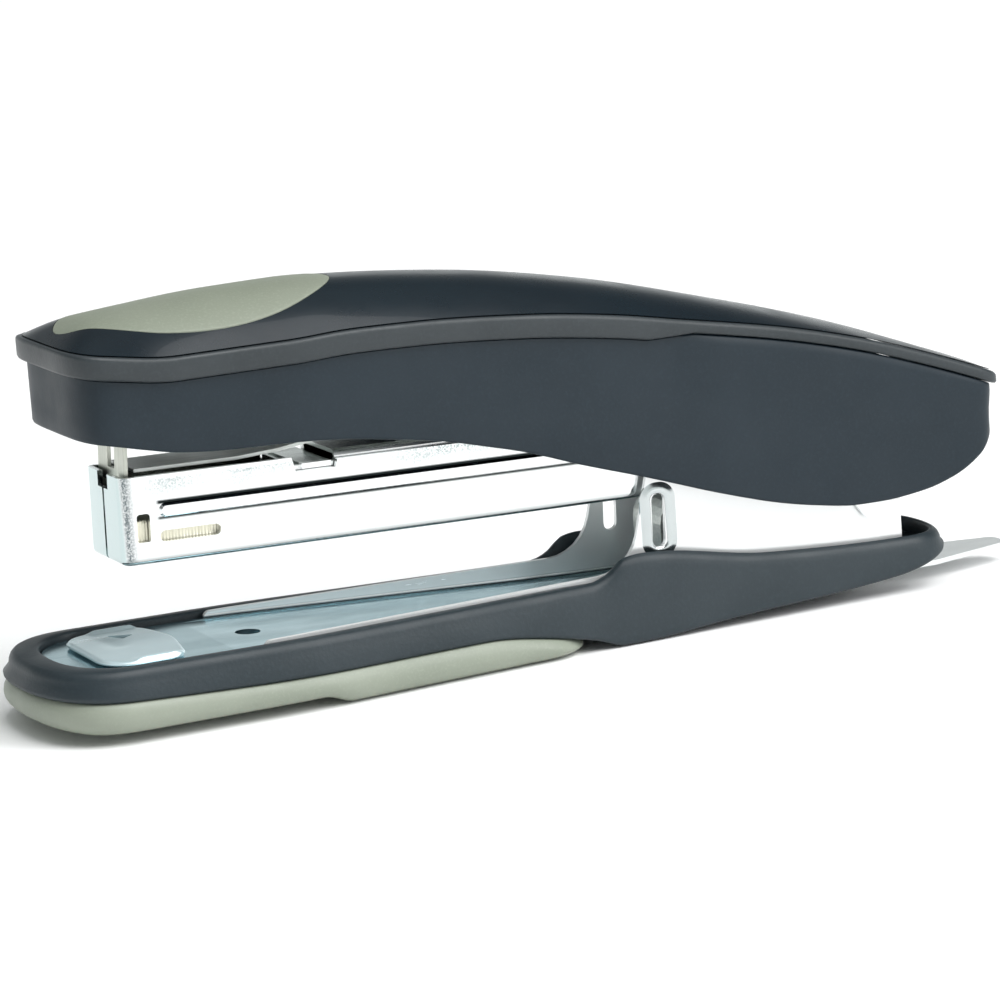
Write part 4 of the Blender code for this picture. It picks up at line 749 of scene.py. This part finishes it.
CHARCOAL = moulded(
    "charcoal_plastic", (0.007, 0.016, 0.024), (0.01, 0.02, 0.029),
    0.48, 1900, 0.015 * MM,
)
BAND = moulded("band_plastic", (0.02, 0.027, 0.031), (0.03, 0.038, 0.043), 0.42, 1700, 0.03 * MM)
SHELL = moulded("shell_plastic", (0.014, 0.024, 0.03), (0.022, 0.033, 0.04), 0.44, 1700, 0.03 * MM)
SATIN = moulded(
    "satin_plastic", (0.001, 0.006, 0.011), (0.002, 0.009, 0.015),
    0.28, 2600, 0.003 * MM, 0.1,
)
GRIP = moulded("grip_rubber", (0.216, 0.243, 0.186), (0.24, 0.265, 0.208), 0.5, 2400, 0.015 * MM)
SOLE = moulded(
    "sole_rubber", (0.25, 0.28, 0.225), (0.29, 0.32, 0.26),
    0.42, 2400, 0.006 * MM, 0.0, 1.1,
)
CHROME = plated("chrome", (0.9, 0.92, 0.92), 0.1)
# The magazine's chrome carries painted shade marks.
CHANNEL = plated("channel_chrome", (0.93, 0.95, 0.95), 0.1, 0.006, 0.003, channel_painted_shade)
ANVIL = plated("anvil_plate_finish", (0.74, 0.9, 0.94), 0.3, 0.004)
# The emboss round each wall slot is plated a darker grey than the wall, as painted shade.
EMBOSS = plated("slot_emboss", (0.6, 0.64, 0.64), 0.16, 0.004)
# The bracket's plating, with painted shade and a painted reflection on it.
BRACKET = plated("bracket_plate", (0.62, 0.85, 0.92), 0.2, 0.004, 0.0, bracket_tint)
# The cover plate's dull grey is painted shade for the chrome inside the magazine; its tabs are painted
# bright as lit.
COVER = plated("cover_plate", (0.34, 0.38, 0.36), 0.2, 0.005, 0.0, tab_tint)
STEEL = brushed("spring_steel", (0.52, 0.55, 0.53), (0.68, 0.71, 0.68), 0.38)
BLADE = brushed("blade_steel", (0.5, 0.52, 0.46), (0.62, 0.64, 0.57), 0.35, (1.0, 1.0, 0.05))
ZINC = brushed("staple_wire", (0.8, 0.77, 0.62), (0.93, 0.9, 0.76), 0.4, (1.0, 0.1, 0.1))
DARK = moulded("pusher_plastic", (0.012, 0.012, 0.012), (0.02, 0.02, 0.02), 0.4, 1500, 0.01 * MM)
for material, socket, value in (
    (ANVIL, "Metallic", 0.45),
    (SATIN, "Specular IOR Level", 0.2),
    (SHELL, "Specular IOR Level", 0.42),
    (CHARCOAL, "Specular IOR Level", 0.36),
    (BAND, "Specular IOR Level", 0.48),
):
    material.node_tree.nodes["Principled BSDF"].inputs[socket].default_value = value


# ---------------------------------------------------------------- handle

handle_outline = Plan(HANDLE_FRONT, HANDLE_REAR, 9 * MM, 6 * MM, band_half, 4.2)
cover_outline = handle_outline.inset(0.9 * MM)
COVER_SEAT = 0.12 * MM


def crown(x, share):
    edge = band_top(x) + COVER_SEAT
    return edge + (crown_top(x) - edge) * (1 - share**2.4)


def crown_ring(plan, share, drop=0.0):
    def height(x):
        return max(crown(x, share) - drop, band_top(x) + COVER_SEAT)

    return ring(plan.scaled(share, (1 - share) * 8 * MM), height)


def crown_height(x, y):
    """Height of the cover's outer surface at a point of its plan."""
    low, high = 0.0, 1.0
    for _ in range(22):
        share = 0.5 * (low + high)
        narrowed = cover_outline.scaled(share, (1 - share) * 8 * MM)
        inside = narrowed.front < x < narrowed.rear and (
            abs(y) <= narrowed.half(x) * narrowed.end_share(x)
        )
        low, high = (low, share) if inside else (share, high)
    return crown(x, 0.5 * (low + high))


def make_cover():
    inner = cover_outline.inset(COVER_WALL)
    inside = [0.1, 0.4, 0.7, 0.9]
    outside = [0.03] + [math.sin(0.5 * math.pi * k / 26) for k in range(2, 26)]
    rings = [crown_ring(inner, share, COVER_WALL) for share in inside]
    rings.append(ring(inner, raised(band_top, COVER_SEAT)))
    rings.append(ring(cover_outline.inset(0.12 * MM), raised(band_top, COVER_SEAT)))
    rings.append(ring(cover_outline, raised(band_top, COVER_SEAT + 0.1 * MM)))
    rings += [crown_ring(cover_outline, share) for share in outside[::-1]]
    cover = add("cover_shell", ring_mesh("cover_shell", rings), SATIN, 50)
    carve(cover, [grip_mesh("grip_recess", SEAM, 0.9 * MM, 3 * MM)], tangled=True)
    shade(cover.data, 35)
    stand_for(cover, "handle", "satin_plastic", "handle_cover")


def grip_mesh(name, spread, depth, height, crowned=0.0):
    """The grip's lens-shaped pad, or the tool for its recess: spread wider and sunk by depth."""
    front = HANDLE_FRONT + 3.2 * MM
    count = 56
    across = 16

    def make(bm):
        columns = []
        for k in range(count + 1):
            share = 0.5 - 0.5 * math.cos(math.pi * k / count)
            x = front + GRIP_LENGTH * share
            wide = GRIP_HALF * math.sqrt(max(0.0, 1 - (2 * share - 1) ** 2))
            outer = wide + spread if 0 < k < count else 0.0
            reach = x + (spread if k == count else -spread if k == 0 else 0)
            row = []
            for j in range(-across, across + 1):
                y = outer * math.sin(0.5 * math.pi * j / across)
                z = crown_height(reach, y)
                rim = (1 - (2 * share - 1) ** 2) * (1 - (j / across) ** 2)
                lift = height + crowned * min(1.0, 6 * rim) ** 0.5
                row.append((
                    bm.verts.new((reach, y, z - depth)),
                    bm.verts.new((reach, y, z + lift)),
                ))
            columns.append(row)
        for first, second in zip(columns, columns[1:]):
            for a, b, c, d in zip(first, first[1:], second[1:], second):
                bm.faces.new((a[0], b[0], c[0], d[0]))
                bm.faces.new((a[1], d[1], c[1], b[1]))
            for a, d in ((first[0], second[0]), (first[-1], second[-1])):
                bm.faces.new((a[0], d[0], d[1], a[1]))

    return mesh_from(name, make, BASE)


def make_grip():
    mesh = grip_mesh("grip_pad", -0.02 * MM, 0.75 * MM, -0.06 * MM, 0.14 * MM)
    grip = add("grip_pad", mesh, GRIP, 50)
    stand_for(grip, "handle", "grip_rubber", "grip_inlay")


def make_band():
    outer = handle_outline
    inner = outer.inset(BAND_LIP + SKIRT_WALL)
    rings = [
        ring(outer.inset(0.55 * MM), band_bottom),
        ring(outer.inset(0.16 * MM), raised(band_bottom, 0.14 * MM)),
        ring(outer, raised(band_bottom, 0.5 * MM)),
        ring(outer, raised(band_top, -0.7 * MM)),
        ring(outer.inset(0.05 * MM), raised(band_top, -0.42 * MM)),
        ring(outer.inset(0.2 * MM), raised(band_top, -0.18 * MM)),
        ring(outer.inset(0.45 * MM), raised(band_top, -0.04 * MM)),
        ring(outer.inset(0.75 * MM), band_top),
        ring(inner, band_top),
        ring(inner, band_bottom),
    ]
    band = add("band_ring", ring_mesh("band_ring", rings, True), BAND, 60)
    stand_for(band, "handle", "charcoal_plastic", "handle_band")


def make_skirt():
    """The handle's side walls, which swell to a soft shoulder under the band's thin rear half."""
    outer = handle_outline.inset(BAND_LIP, BAND_LIP + 0.3 * MM)
    inner = outer.inset(SKIRT_WALL)

    def top(x):
        return band_bottom(x) - 0.1 * MM

    def low(x):
        return min(skirt_bottom(x), top(x) - 3 * MM)

    def swell(share):
        start, end = band_middle - 2 * MM, band_middle + 9 * MM
        return lambda x: -0.75 * MM * share * smoothstep(start, end, x)

    rings = [
        ring(inner.inset(-0.5 * MM), low),
        ring(outer.inset(0.5 * MM), low),
        ring(outer.inset(0.15 * MM), raised(low, 0.15 * MM)),
        ring(outer, raised(low, 0.55 * MM)),
    ]
    for share in (0.25, 0.5, 0.7, 0.82, 0.9, 0.95):
        full = smoothstep(0.35, 0.95, share)
        rings.append(ring(
            outer.inset(swell(full), 0),
            lambda x, share=share: low(x) + 0.55 * MM + (top(x) - low(x) - 0.9 * MM) * share,
        ))
    rings += [
        ring(outer.inset(swell(0.95), 0), raised(top, -0.35 * MM)),
        ring(outer.inset(swell(0.7), 0), raised(top, -0.1 * MM)),
        ring(outer.inset(0.2 * MM), top),
        ring(inner, top),
        ring(inner, raised(low, 0.4 * MM)),
    ]
    skirt = add("skirt_wall", ring_mesh("skirt_wall", rings, True), CHARCOAL, 60)
    stand_for(skirt, "handle", "charcoal_plastic", "handle_skirt")


# ---------------------------------------------------------------- base

base_outline = Plan(SHELL_FRONT, BASE_TAIL, 13 * MM, 9 * MM, rim_half)
rim_inside = base_outline.inset(rim_width, (NOSE_RIM_WIDTH, REAR_RIM_WIDTH))


def shell_floor(x):
    return max(deck_top(x) - BRACKET_SHEET - 0.3 * MM, shell_bottom(x) + 1.2 * MM)


def make_shell():
    hull = base_outline.inset(lambda x: -draft(x), (-0.8 * DRAFT, -0.4 * DRAFT))
    rings = [
        ring(hull.inset(1.2 * MM), shell_bottom),
        ring(hull.inset(0.35 * MM), raised(shell_bottom, 0.08 * MM)),
        ring(hull.inset(0.08 * MM), raised(shell_bottom, 0.35 * MM)),
        ring(hull.inset(0.03 * MM), raised(shell_bottom, 0.8 * MM)),
        ring(base_outline, raised(rim_top, -2.2 * MM)),
        ring(base_outline.inset(0.12 * MM), raised(rim_top, -1.3 * MM)),
        ring(base_outline.inset(0.36 * MM), raised(rim_top, -0.7 * MM)),
        ring(base_outline.inset(0.75 * MM), raised(rim_top, -0.25 * MM)),
        ring(base_outline.inset(1.15 * MM), raised(rim_top, -0.05 * MM)),
        ring(rim_inside.inset(-0.5 * MM), rim_top),
        ring(rim_inside.inset(-0.18 * MM), raised(rim_top, -0.08 * MM)),
        ring(rim_inside, raised(rim_top, -0.4 * MM)),
        ring(rim_inside, shell_floor),
    ]
    shell = add("shell_tray", ring_mesh("shell_tray", rings), SHELL, 60)
    stand_for(shell, "base", "charcoal_plastic", "base_shell")


def make_sole():
    outline = Plan(0.9 * MM, SOLE_REACH, 13 * MM, 9 * MM, lambda x: rim_half(x) + DRAFT)

    def part_way(share):
        return lambda x: foot(x) + share * (shell_bottom(x) - 0.04 * MM - foot(x))

    profile = [
        (1.6, 0), (0.8, 0.025), (0.2, 0.09), (-0.35, 0.2), (-0.72, 0.35), (-0.8, 0.5),
        (-0.65, 0.7), (-0.25, 0.88), (0.05, 0.97), (0.3, 1.0),
    ]
    rings = [ring(outline.inset(inset * MM), part_way(share)) for inset, share in profile]
    sole = add("sole_pad", ring_mesh("sole_pad", rings), SOLE, 60)
    stand_for(sole, "base", "sole_rubber", "base_sole")


# ---------------------------------------------------------------- anvil and bracket details

def make_anvil():
    """The anvil plate: soft edges, a pressed pocket, a small window and rolled side edges."""
    low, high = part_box("anvil_plate")
    middle = Vector((ANVIL_X, 0))
    reach = 0.5 * (high.x - low.x)
    half = high.y
    corners = round_corners([
        (ANVIL_X - reach, -half, 5.2 * MM), (ANVIL_X + reach - 2.2 * MM, -half, 3.6 * MM),
        (ANVIL_X + reach, 0, 12 * MM),
        (ANVIL_X + reach - 2.2 * MM, half, 3.6 * MM), (ANVIL_X - reach, half, 5.2 * MM),
    ], 14)
    outline = []
    for a, b in zip(corners, corners[1:] + corners[:1]):
        steps = max(1, round((b - a).length / (0.5 * MM)))
        outline += [a.lerp(b, k / steps) for k in range(steps)]

    def height(x, y):
        dx, dy = (x - ANVIL_X) / MM, y / MM
        pocket = 0.34 * math.exp(-((dx + 2.0) / 1.5) ** 2 - ((dy - 1.6) / 3.4) ** 4)
        rolled = 0.5 * math.exp(-((abs(dy) - 10.6) / 0.55) ** 2) * smoothstep(-3.5, -1.5, dx)
        rolled *= 1 - smoothstep(4.6, 5.6, dx)
        crown = 0.25 * smoothstep(0.0, 1.0, 1 - (dy / 12) ** 2)
        return ANVIL_TOP + (crown - 0.25 - pocket + rolled) * MM

    def make(bm):
        shares = [0.06 * k for k in range(1, 16)] + [0.93, 0.955, 0.975, 0.99, 1.0]
        loops = []
        for share in shares:
            loop = []
            for point in outline:
                p = middle.lerp(point, share)
                drop = 0.45 * MM * smoothstep(0.93, 1.0, share) ** 2
                loop.append(bm.verts.new((p.x, p.y, height(p.x, p.y) - drop)))
            loops.append(loop)
        under = low.z + 0.02 * MM
        for share in (0.995, 0.06):
            flat = [middle.lerp(point, share) for point in outline]
            loops.append([bm.verts.new((p.x, p.y, under)) for p in flat])
        count = len(outline)
        for first, second in zip(loops, loops[1:]):
            for k in range(count):
                j = (k + 1) % count
                bm.faces.new((first[k], second[k], second[j], first[j]))
        bm.faces.new(loops[0])
        bm.faces.new(loops[-1][::-1])

    plate = add("anvil_top", mesh_from("anvil_top", make, BASE), ANVIL, 60)
    window = round_corners([
        (ANVIL_X - 1.3 * MM, 7.0 * MM, 0.2 * MM), (ANVIL_X + 0.4 * MM, 3.4 * MM, 0.2 * MM),
        (ANVIL_X + 2.6 * MM, 5.0 * MM, 0.2 * MM),
    ], 3)
    carve(plate, [plate_mesh("anvil_window", window, 0, 30 * MM, "XY")])
    shade(plate.data, 50)
    stand_for(plate, "anvil", "plated_steel", "anvil_plate")


def make_slot_rims():
    """The embossed swelling round the slot in each pivot wall, in a darker grey plating that is
    painted shade.
    """
    x_low, x_high = WALL_FRONT + 4.1 * MM, WALL_FRONT + 6.7 * MM
    z_low, z_high = REAR_RIM_HEIGHT, REAR_RIM_HEIGHT + WALL_SLOT
    for side, name in ((-1, "near"), (1, "far")):
        def make(bm, side=side):
            loops = []
            for spread, rise in (
                (0.02, -0.3), (0.02, 0.1), (0.16, 0.2), (0.45, 0.26), (0.8, 0.24), (1.15, 0.16),
                (1.5, 0.06), (1.8, 0.0), (1.9, -0.2),
            ):
                wide = spread * MM
                bend = 1.0 * MM + wide
                outline = round_corners([
                    (x_low - wide, z_low - wide, bend), (x_high + wide, z_low - wide, bend),
                    (x_high + wide, z_high + wide, bend), (x_low - wide, z_high + wide, bend),
                ], 10)
                y = side * (BRACKET_HALF - 0.05 * MM + rise * MM)
                loops.append([bm.verts.new((p[0], y, p[1])) for p in outline])
            count = len(loops[0])
            for first, second in zip(loops, loops[1:] + loops[:1]):
                for k in range(count):
                    j = (k + 1) % count
                    bm.faces.new((first[k], first[j], second[j], second[k]))

        rim = add("slot_rim_" + name, mesh_from("slot_rim_" + name, make, BASE), EMBOSS, 50)
        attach(rim, "base")


# ---------------------------------------------------------------- magazine

def rounded_box(name, low, high, bends, matrix=MAGAZINE):
    """A block with its edges rounded in turn: bends are (radius, pick(a, b), segments)."""

    def make(bm):
        bmesh.ops.create_cube(bm, size=1)
        size = Vector(high) - Vector(low)
        middle = 0.5 * (Vector(high) + Vector(low))
        move = Matrix.Translation(middle) @ Matrix.Diagonal((*size, 1))
        bmesh.ops.transform(bm, matrix=move, verts=bm.verts)
        for radius, pick, segments in bends:
            edges = [e for e in bm.edges if pick(e.verts[0].co, e.verts[1].co)]
            bmesh.ops.bevel(
                bm, geom=edges, offset=radius, segments=segments, profile=0.5, affect="EDGES"
            )

    return mesh_from(name, make, matrix)


def frustum_mesh(name, outer, inner, low, high, matrix=MAGAZINE):
    """A plate in plane XZ whose outline changes from one at y = low to another at y = high."""

    def make(bm):
        first = [bm.verts.new((p[0], low, p[1])) for p in outer]
        second = [bm.verts.new((p[0], high, p[1])) for p in inner]
        bm.faces.new(first)
        bm.faces.new(second[::-1])
        for k in range(len(first)):
            j = (k + 1) % len(first)
            bm.faces.new((first[k], second[k], second[j], first[j]))

    return mesh_from(name, make, matrix)


def make_magazine():
    """The chromed channel: wide bends, a rib along each side, windows and two front flaps."""
    front, rear = MAGAZINE_FRONT, MAGAZINE_REAR
    half, sheet = MAGAZINE_HALF, MAGAZINE_SHEET
    bottom, top = MAGAZINE_BOTTOM, MAGAZINE_TOP
    bend = 1.7 * MM
    sole_bend = 1.0 * MM

    def upright_front(start):
        return lambda a, b: abs(a.x - start) + abs(b.x - start) < 1e-9 and abs(a.y - b.y) < 1e-9

    def underneath(low):
        return lambda a, b: abs(a.z - low) + abs(b.z - low) < 1e-6 and min(a.x, b.x) < 0.9 * rear

    body = rounded_box("magazine_body", (front, -half, bottom), (rear, half, top),
                       ((bend, upright_front(front), 10), (sole_bend, underneath(bottom), 8)))
    obj = add("magazine_body", body, CHANNEL)
    ribs = []
    for side in (-1, 1):
        ribs.append(frustum_mesh(
            "rib",
            stadium(front + 5.7 * MM, rear - 13.6 * MM, RIB_LINE - 0.2 * MM, 1.45 * MM, 14),
            stadium(front + 6.4 * MM, rear - 14.2 * MM, RIB_LINE - 0.3 * MM, 0.75 * MM, 14),
            side * (half - 0.3 * MM), side * (half + 0.36 * MM),
        ))
    carve(obj, ribs, "UNION")
    reach = 2 * half
    notch_front = front + 27.8 * MM
    notch_rear = notch_front + 7.2 * MM
    skyline = [
        (front - 2 * MM, top + 3 * MM), (front - 2 * MM, top), (notch_front, top),
        (notch_front + 0.6 * MM, top - 2.2 * MM), (notch_rear, top - 2.2 * MM),
        (notch_rear + 0.3 * MM, top - 1.0 * MM), (PIVOT_X - 4 * MM, top - 1.2 * MM),
        (rear - 1 * MM, PIVOT_HEIGHT + 3.4 * MM), (rear + 2 * MM, PIVOT_HEIGHT + 2 * MM),
        (rear + 2 * MM, top + 3 * MM),
    ]
    tall_window = round_corners([
        (front + 2.4 * MM, bottom + 3.5 * MM, 0.3 * MM),
        (front + 4.5 * MM, bottom + 3.5 * MM, 0.3 * MM),
        (front + 4.5 * MM, bottom + 7.8 * MM, 0.5 * MM),
        (front + 2.4 * MM, bottom + 7.8 * MM, 0.5 * MM),
    ])
    long_window = stadium(front + 6.0 * MM, front + 15.8 * MM, bottom + 4.1 * MM, 0.85 * MM)
    inner_low = (front + sheet, -half + sheet, bottom + sheet)
    carve(obj, [
        rounded_box("hollow", inner_low, (rear + 5 * MM, half - sheet, top + 5 * MM),
                    ((bend - sheet, upright_front(inner_low[0]), 6),)),
        plate_mesh("skyline", skyline, -reach, reach, "XZ", MAGAZINE),
        plate_mesh("long_window", long_window, -reach, reach, "XZ", MAGAZINE),
        plate_mesh("tall_window", tall_window, -reach, reach, "XZ", MAGAZINE),
        block_mesh("front_gap", (front - 1 * MM, -0.35 * MM, bottom - 1 * MM),
                   (front + 1.2 * MM, 0.35 * MM, top + 1 * MM), MAGAZINE),
        block_mesh("mouth", (front - 1 * MM, -2.1 * MM, top - 2.3 * MM),
                   (front + 1.2 * MM, 2.1 * MM, top + 1 * MM), MAGAZINE),
        block_mesh("exit_slot",
                   (front + sheet + 0.01 * MM, -half + bend - 0.3 * MM, bottom - 1 * MM),
                   (front + 3.4 * MM, half - bend + 0.3 * MM, bottom + 1.5 * MM), MAGAZINE),
        plate_mesh("pin_hole", circle(PIVOT_X, PIVOT_HEIGHT, PIN_BORE), -reach, reach, "XZ",
                   MAGAZINE),
    ])
    shade(obj.data, 35)
    soften(obj, 0.12 * MM, 2, 38)
    stand_for(obj, "magazine", "chrome", "magazine_channel")


def make_staples():
    """The strip of glued staples: each wire stands a little apart from the next."""
    box_low, box_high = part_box("staple_strip")
    start = box_low.x - SHIFT + 0.02 * MM
    count = 100
    pitch = (box_high.x - box_low.x) / count / math.cos(MAGAZINE_PITCH)
    crown_half = 6.35 * MM
    crown_top_z = MAGAZINE_BOTTOM + MAGAZINE_SHEET + 6.0 * MM
    foot_z = crown_top_z - 5.8 * MM
    wire = 0.5 * MM

    def loop(x, shrink):
        outline = round_corners([
            (-crown_half + shrink, foot_z, 0),
            (-crown_half + shrink, crown_top_z - shrink, 0.7 * MM),
            (crown_half - shrink, crown_top_z - shrink, 0.7 * MM),
            (crown_half - shrink, foot_z, 0),
        ], 4)
        inside = round_corners([
            (crown_half - wire, foot_z, 0), (crown_half - wire, crown_top_z - wire, 0.35 * MM),
            (-crown_half + wire, crown_top_z - wire, 0.35 * MM), (-crown_half + wire, foot_z, 0),
        ], 4)
        return [(x, p[0], p[1]) for p in outline + inside]

    def make(bm):
        loops = []
        for k in range(count):
            x = start + k * pitch
            for share, shrink in ((0.0, 0.06), (0.25, 0.0), (0.75, 0.0)):
                loops.append(loop(x + share * pitch, shrink * MM))
        loops.append(loop(start + count * pitch, 0.06 * MM))
        rows = [[bm.verts.new(point) for point in points] for points in loops]
        size = len(rows[0])
        for first, second in zip(rows, rows[1:]):
            for k in range(size):
                j = (k + 1) % size
                bm.faces.new((first[k], first[j], second[j], second[k]))
        bm.faces.new(rows[0][::-1])
        bm.faces.new(rows[-1])

    strip = add("staples", mesh_from("staples", make, MAGAZINE), ZINC, 25)
    stand_for(strip, "magazine", "staple_wire", "staple_strip")


def make_springs():
    """The two springs that shorten as their joints move, as steel copies of their CAD pieces that move
    with their bodies.
    """
    for node, body, joint, axis, keep in (
        ("pusher_spring", "magazine", "pusher_slide", PITCH_AXIS, None),
        ("return_spring", "base", "magazine_hinge", Vector((0, 0, 1)), 0.69),
    ):
        source = nodes[node]
        spring = add(node + "_coil", source.data.copy(), STEEL, 35)
        spring.matrix_world = source.matrix_world.copy()
        low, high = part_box(node)
        if keep is None:
            length = high.x - low.x
            keep = (length - PUSHER_TRAVEL) / length
        stand_for(spring, body, "spring_steel", node)
        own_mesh(spring)


# ---------------------------------------------------------------- carried-over CAD pieces

def finish_cad(name, material, slot, width=0.12 * MM, smooth=35, angle=40):
    """Gives a CAD node its finish and slightly rounded edges."""
    obj = nodes[name]
    obj.data.materials.clear()
    obj.data.materials.append(material)
    shade(obj.data, smooth)
    if width:
        soften(obj, width, 2, angle)


make_cover()
make_grip()
make_band()
make_skirt()
make_shell()
make_sole()
make_anvil()
make_slot_rims()
make_magazine()
make_staples()
make_springs()
for name, material, slot in (
    ("bracket", BRACKET, "plated_steel"),
    ("anvil_stud", STEEL, "spring_steel"),
    ("pivot_pin", CHROME, "chrome"),
    ("deck_rivet_front", CHROME, "chrome"),
    ("deck_rivet_rear", CHROME, "chrome"),
    ("remover_rivet", CHROME, "chrome"),
    ("driver_rivet_front", CHROME, "chrome"),
    ("driver_rivet_rear", CHROME, "chrome"),
    ("staple_remover", CHROME, "chrome"),
    ("magazine_cover", COVER, "chrome"),
    ("staple_rail", CHROME, "chrome"),
    ("handle_frame", CHROME, "chrome"),
    ("leaf_spring", STEEL, "spring_steel"),
    ("guide_rod", STEEL, "spring_steel"),
    ("driver_blade", BLADE, "spring_steel"),
    ("pusher", DARK, "pusher_plastic"),
    ("rear_stop", DARK, "pusher_plastic"),
):
    finish_cad(name, material, slot)


# ---------------------------------------------------------------- floor, light and camera

def flat_material(name, colour, roughness):
    made = Shader(name, roughness)
    darker = tuple(0.99 * c for c in colour)
    made.colour(made.ramp(made.noise(3, 2), [(0.3, darker), (0.7, colour)]))
    return made.material


def make_stage():
    floor = add("floor", block_mesh("floor", (-6, -6, -0.01), (6, 6, -0.0002)),
                flat_material("floor_paper", (0.985, 0.985, 0.985), 0.9))


def area_light(name, place, target, size, energy):
    data = bpy.data.lights.new(name, "AREA")
    data.shape = "RECTANGLE"
    data.size, data.size_y = size
    data.energy = energy
    light = bpy.data.objects.new(name, data)
    light.location = place
    aim = Vector(target) - Vector(place)
    light.rotation_mode = "QUATERNION"
    light.rotation_quaternion = aim.to_track_quat("-Z", "Y")
    scene.collection.objects.link(light)


def make_world():
    """A studio that is light near the horizon, darker above it, and lit from overhead."""
    world = bpy.data.worlds.new("studio")
    world.use_nodes = True
    tree = world.node_tree
    place = tree.nodes.new("ShaderNodeTexCoord")
    split = tree.nodes.new("ShaderNodeSeparateXYZ")
    tree.links.new(place.outputs["Generated"], split.inputs["Vector"])
    ramp = tree.nodes.new("ShaderNodeValToRGB")
    elements = ramp.color_ramp.elements
    stops = ((0.0, 1.0), (0.17, 1.0), (0.3, 0.22), (0.62, 0.2), (0.85, 0.62))
    while len(elements) < len(stops):
        elements.new(0.5)
    for element, (position, value) in zip(elements, stops):
        element.position = position
        element.color = (0.96 * value, value, value, 1)
    tree.links.new(split.outputs["Z"], ramp.inputs["Fac"])
    behind = tree.nodes.new("ShaderNodeMapRange")
    behind.inputs["From Min"].default_value = -0.3
    behind.inputs["From Max"].default_value = 0.4
    behind.inputs["To Min"].default_value = 1.0
    behind.inputs["To Max"].default_value = 0.92
    tree.links.new(split.outputs["Y"], behind.inputs["Value"])
    sky = tree.nodes["Background"]
    tree.links.new(ramp.outputs["Color"], sky.inputs["Color"])
    tree.links.new(behind.outputs["Result"], sky.inputs["Strength"])
    scene.world = world


def make_light():
    make_world()
    sun = bpy.data.lights.new("soft_sun", "SUN")
    sun.energy = 2.35
    sun.angle = math.radians(50)
    lamp = bpy.data.objects.new("soft_sun", sun)
    lamp.rotation_mode = "QUATERNION"
    lamp.rotation_quaternion = Vector((-0.25, 0.4, -1)).to_track_quat("-Z", "Y")
    scene.collection.objects.link(lamp)
    area_light("side_box", (0.5, -0.6, 0.45), (0, 0, 0.03), (0.3, 0.5), 3)


CAMERA_AZIMUTH = math.radians(-24)
CAMERA_ELEVATION = math.radians(11.5)
CAMERA_ROLL = math.radians(4.3)
CAMERA_DISTANCE = 700 * MM
CAMERA_TARGET = Vector((-4 * MM, 0, 23.4 * MM))
LENS = 160.5


def make_camera():
    a, e, r = CAMERA_AZIMUTH, CAMERA_ELEVATION, CAMERA_ROLL
    back = Vector((math.sin(a) * math.cos(e), -math.cos(a) * math.cos(e), math.sin(e)))
    right = Vector((math.cos(a), math.sin(a), 0))
    up = back.cross(right)
    rolled_right = right * math.cos(r) - up * math.sin(r)
    rolled_up = up * math.cos(r) + right * math.sin(r)
    data = bpy.data.cameras.new("camera")
    data.sensor_width = 36
    data.lens = LENS
    data.clip_start = 0.01
    camera = bpy.data.objects.new("camera", data)
    camera.matrix_world = Matrix((rolled_right, rolled_up, back)).transposed().to_4x4()
    camera.location = CAMERA_TARGET + back * CAMERA_DISTANCE
    scene.collection.objects.link(camera)
    scene.camera = camera


make_stage()
make_light()
make_camera()
scene.view_settings.view_transform = "Standard"
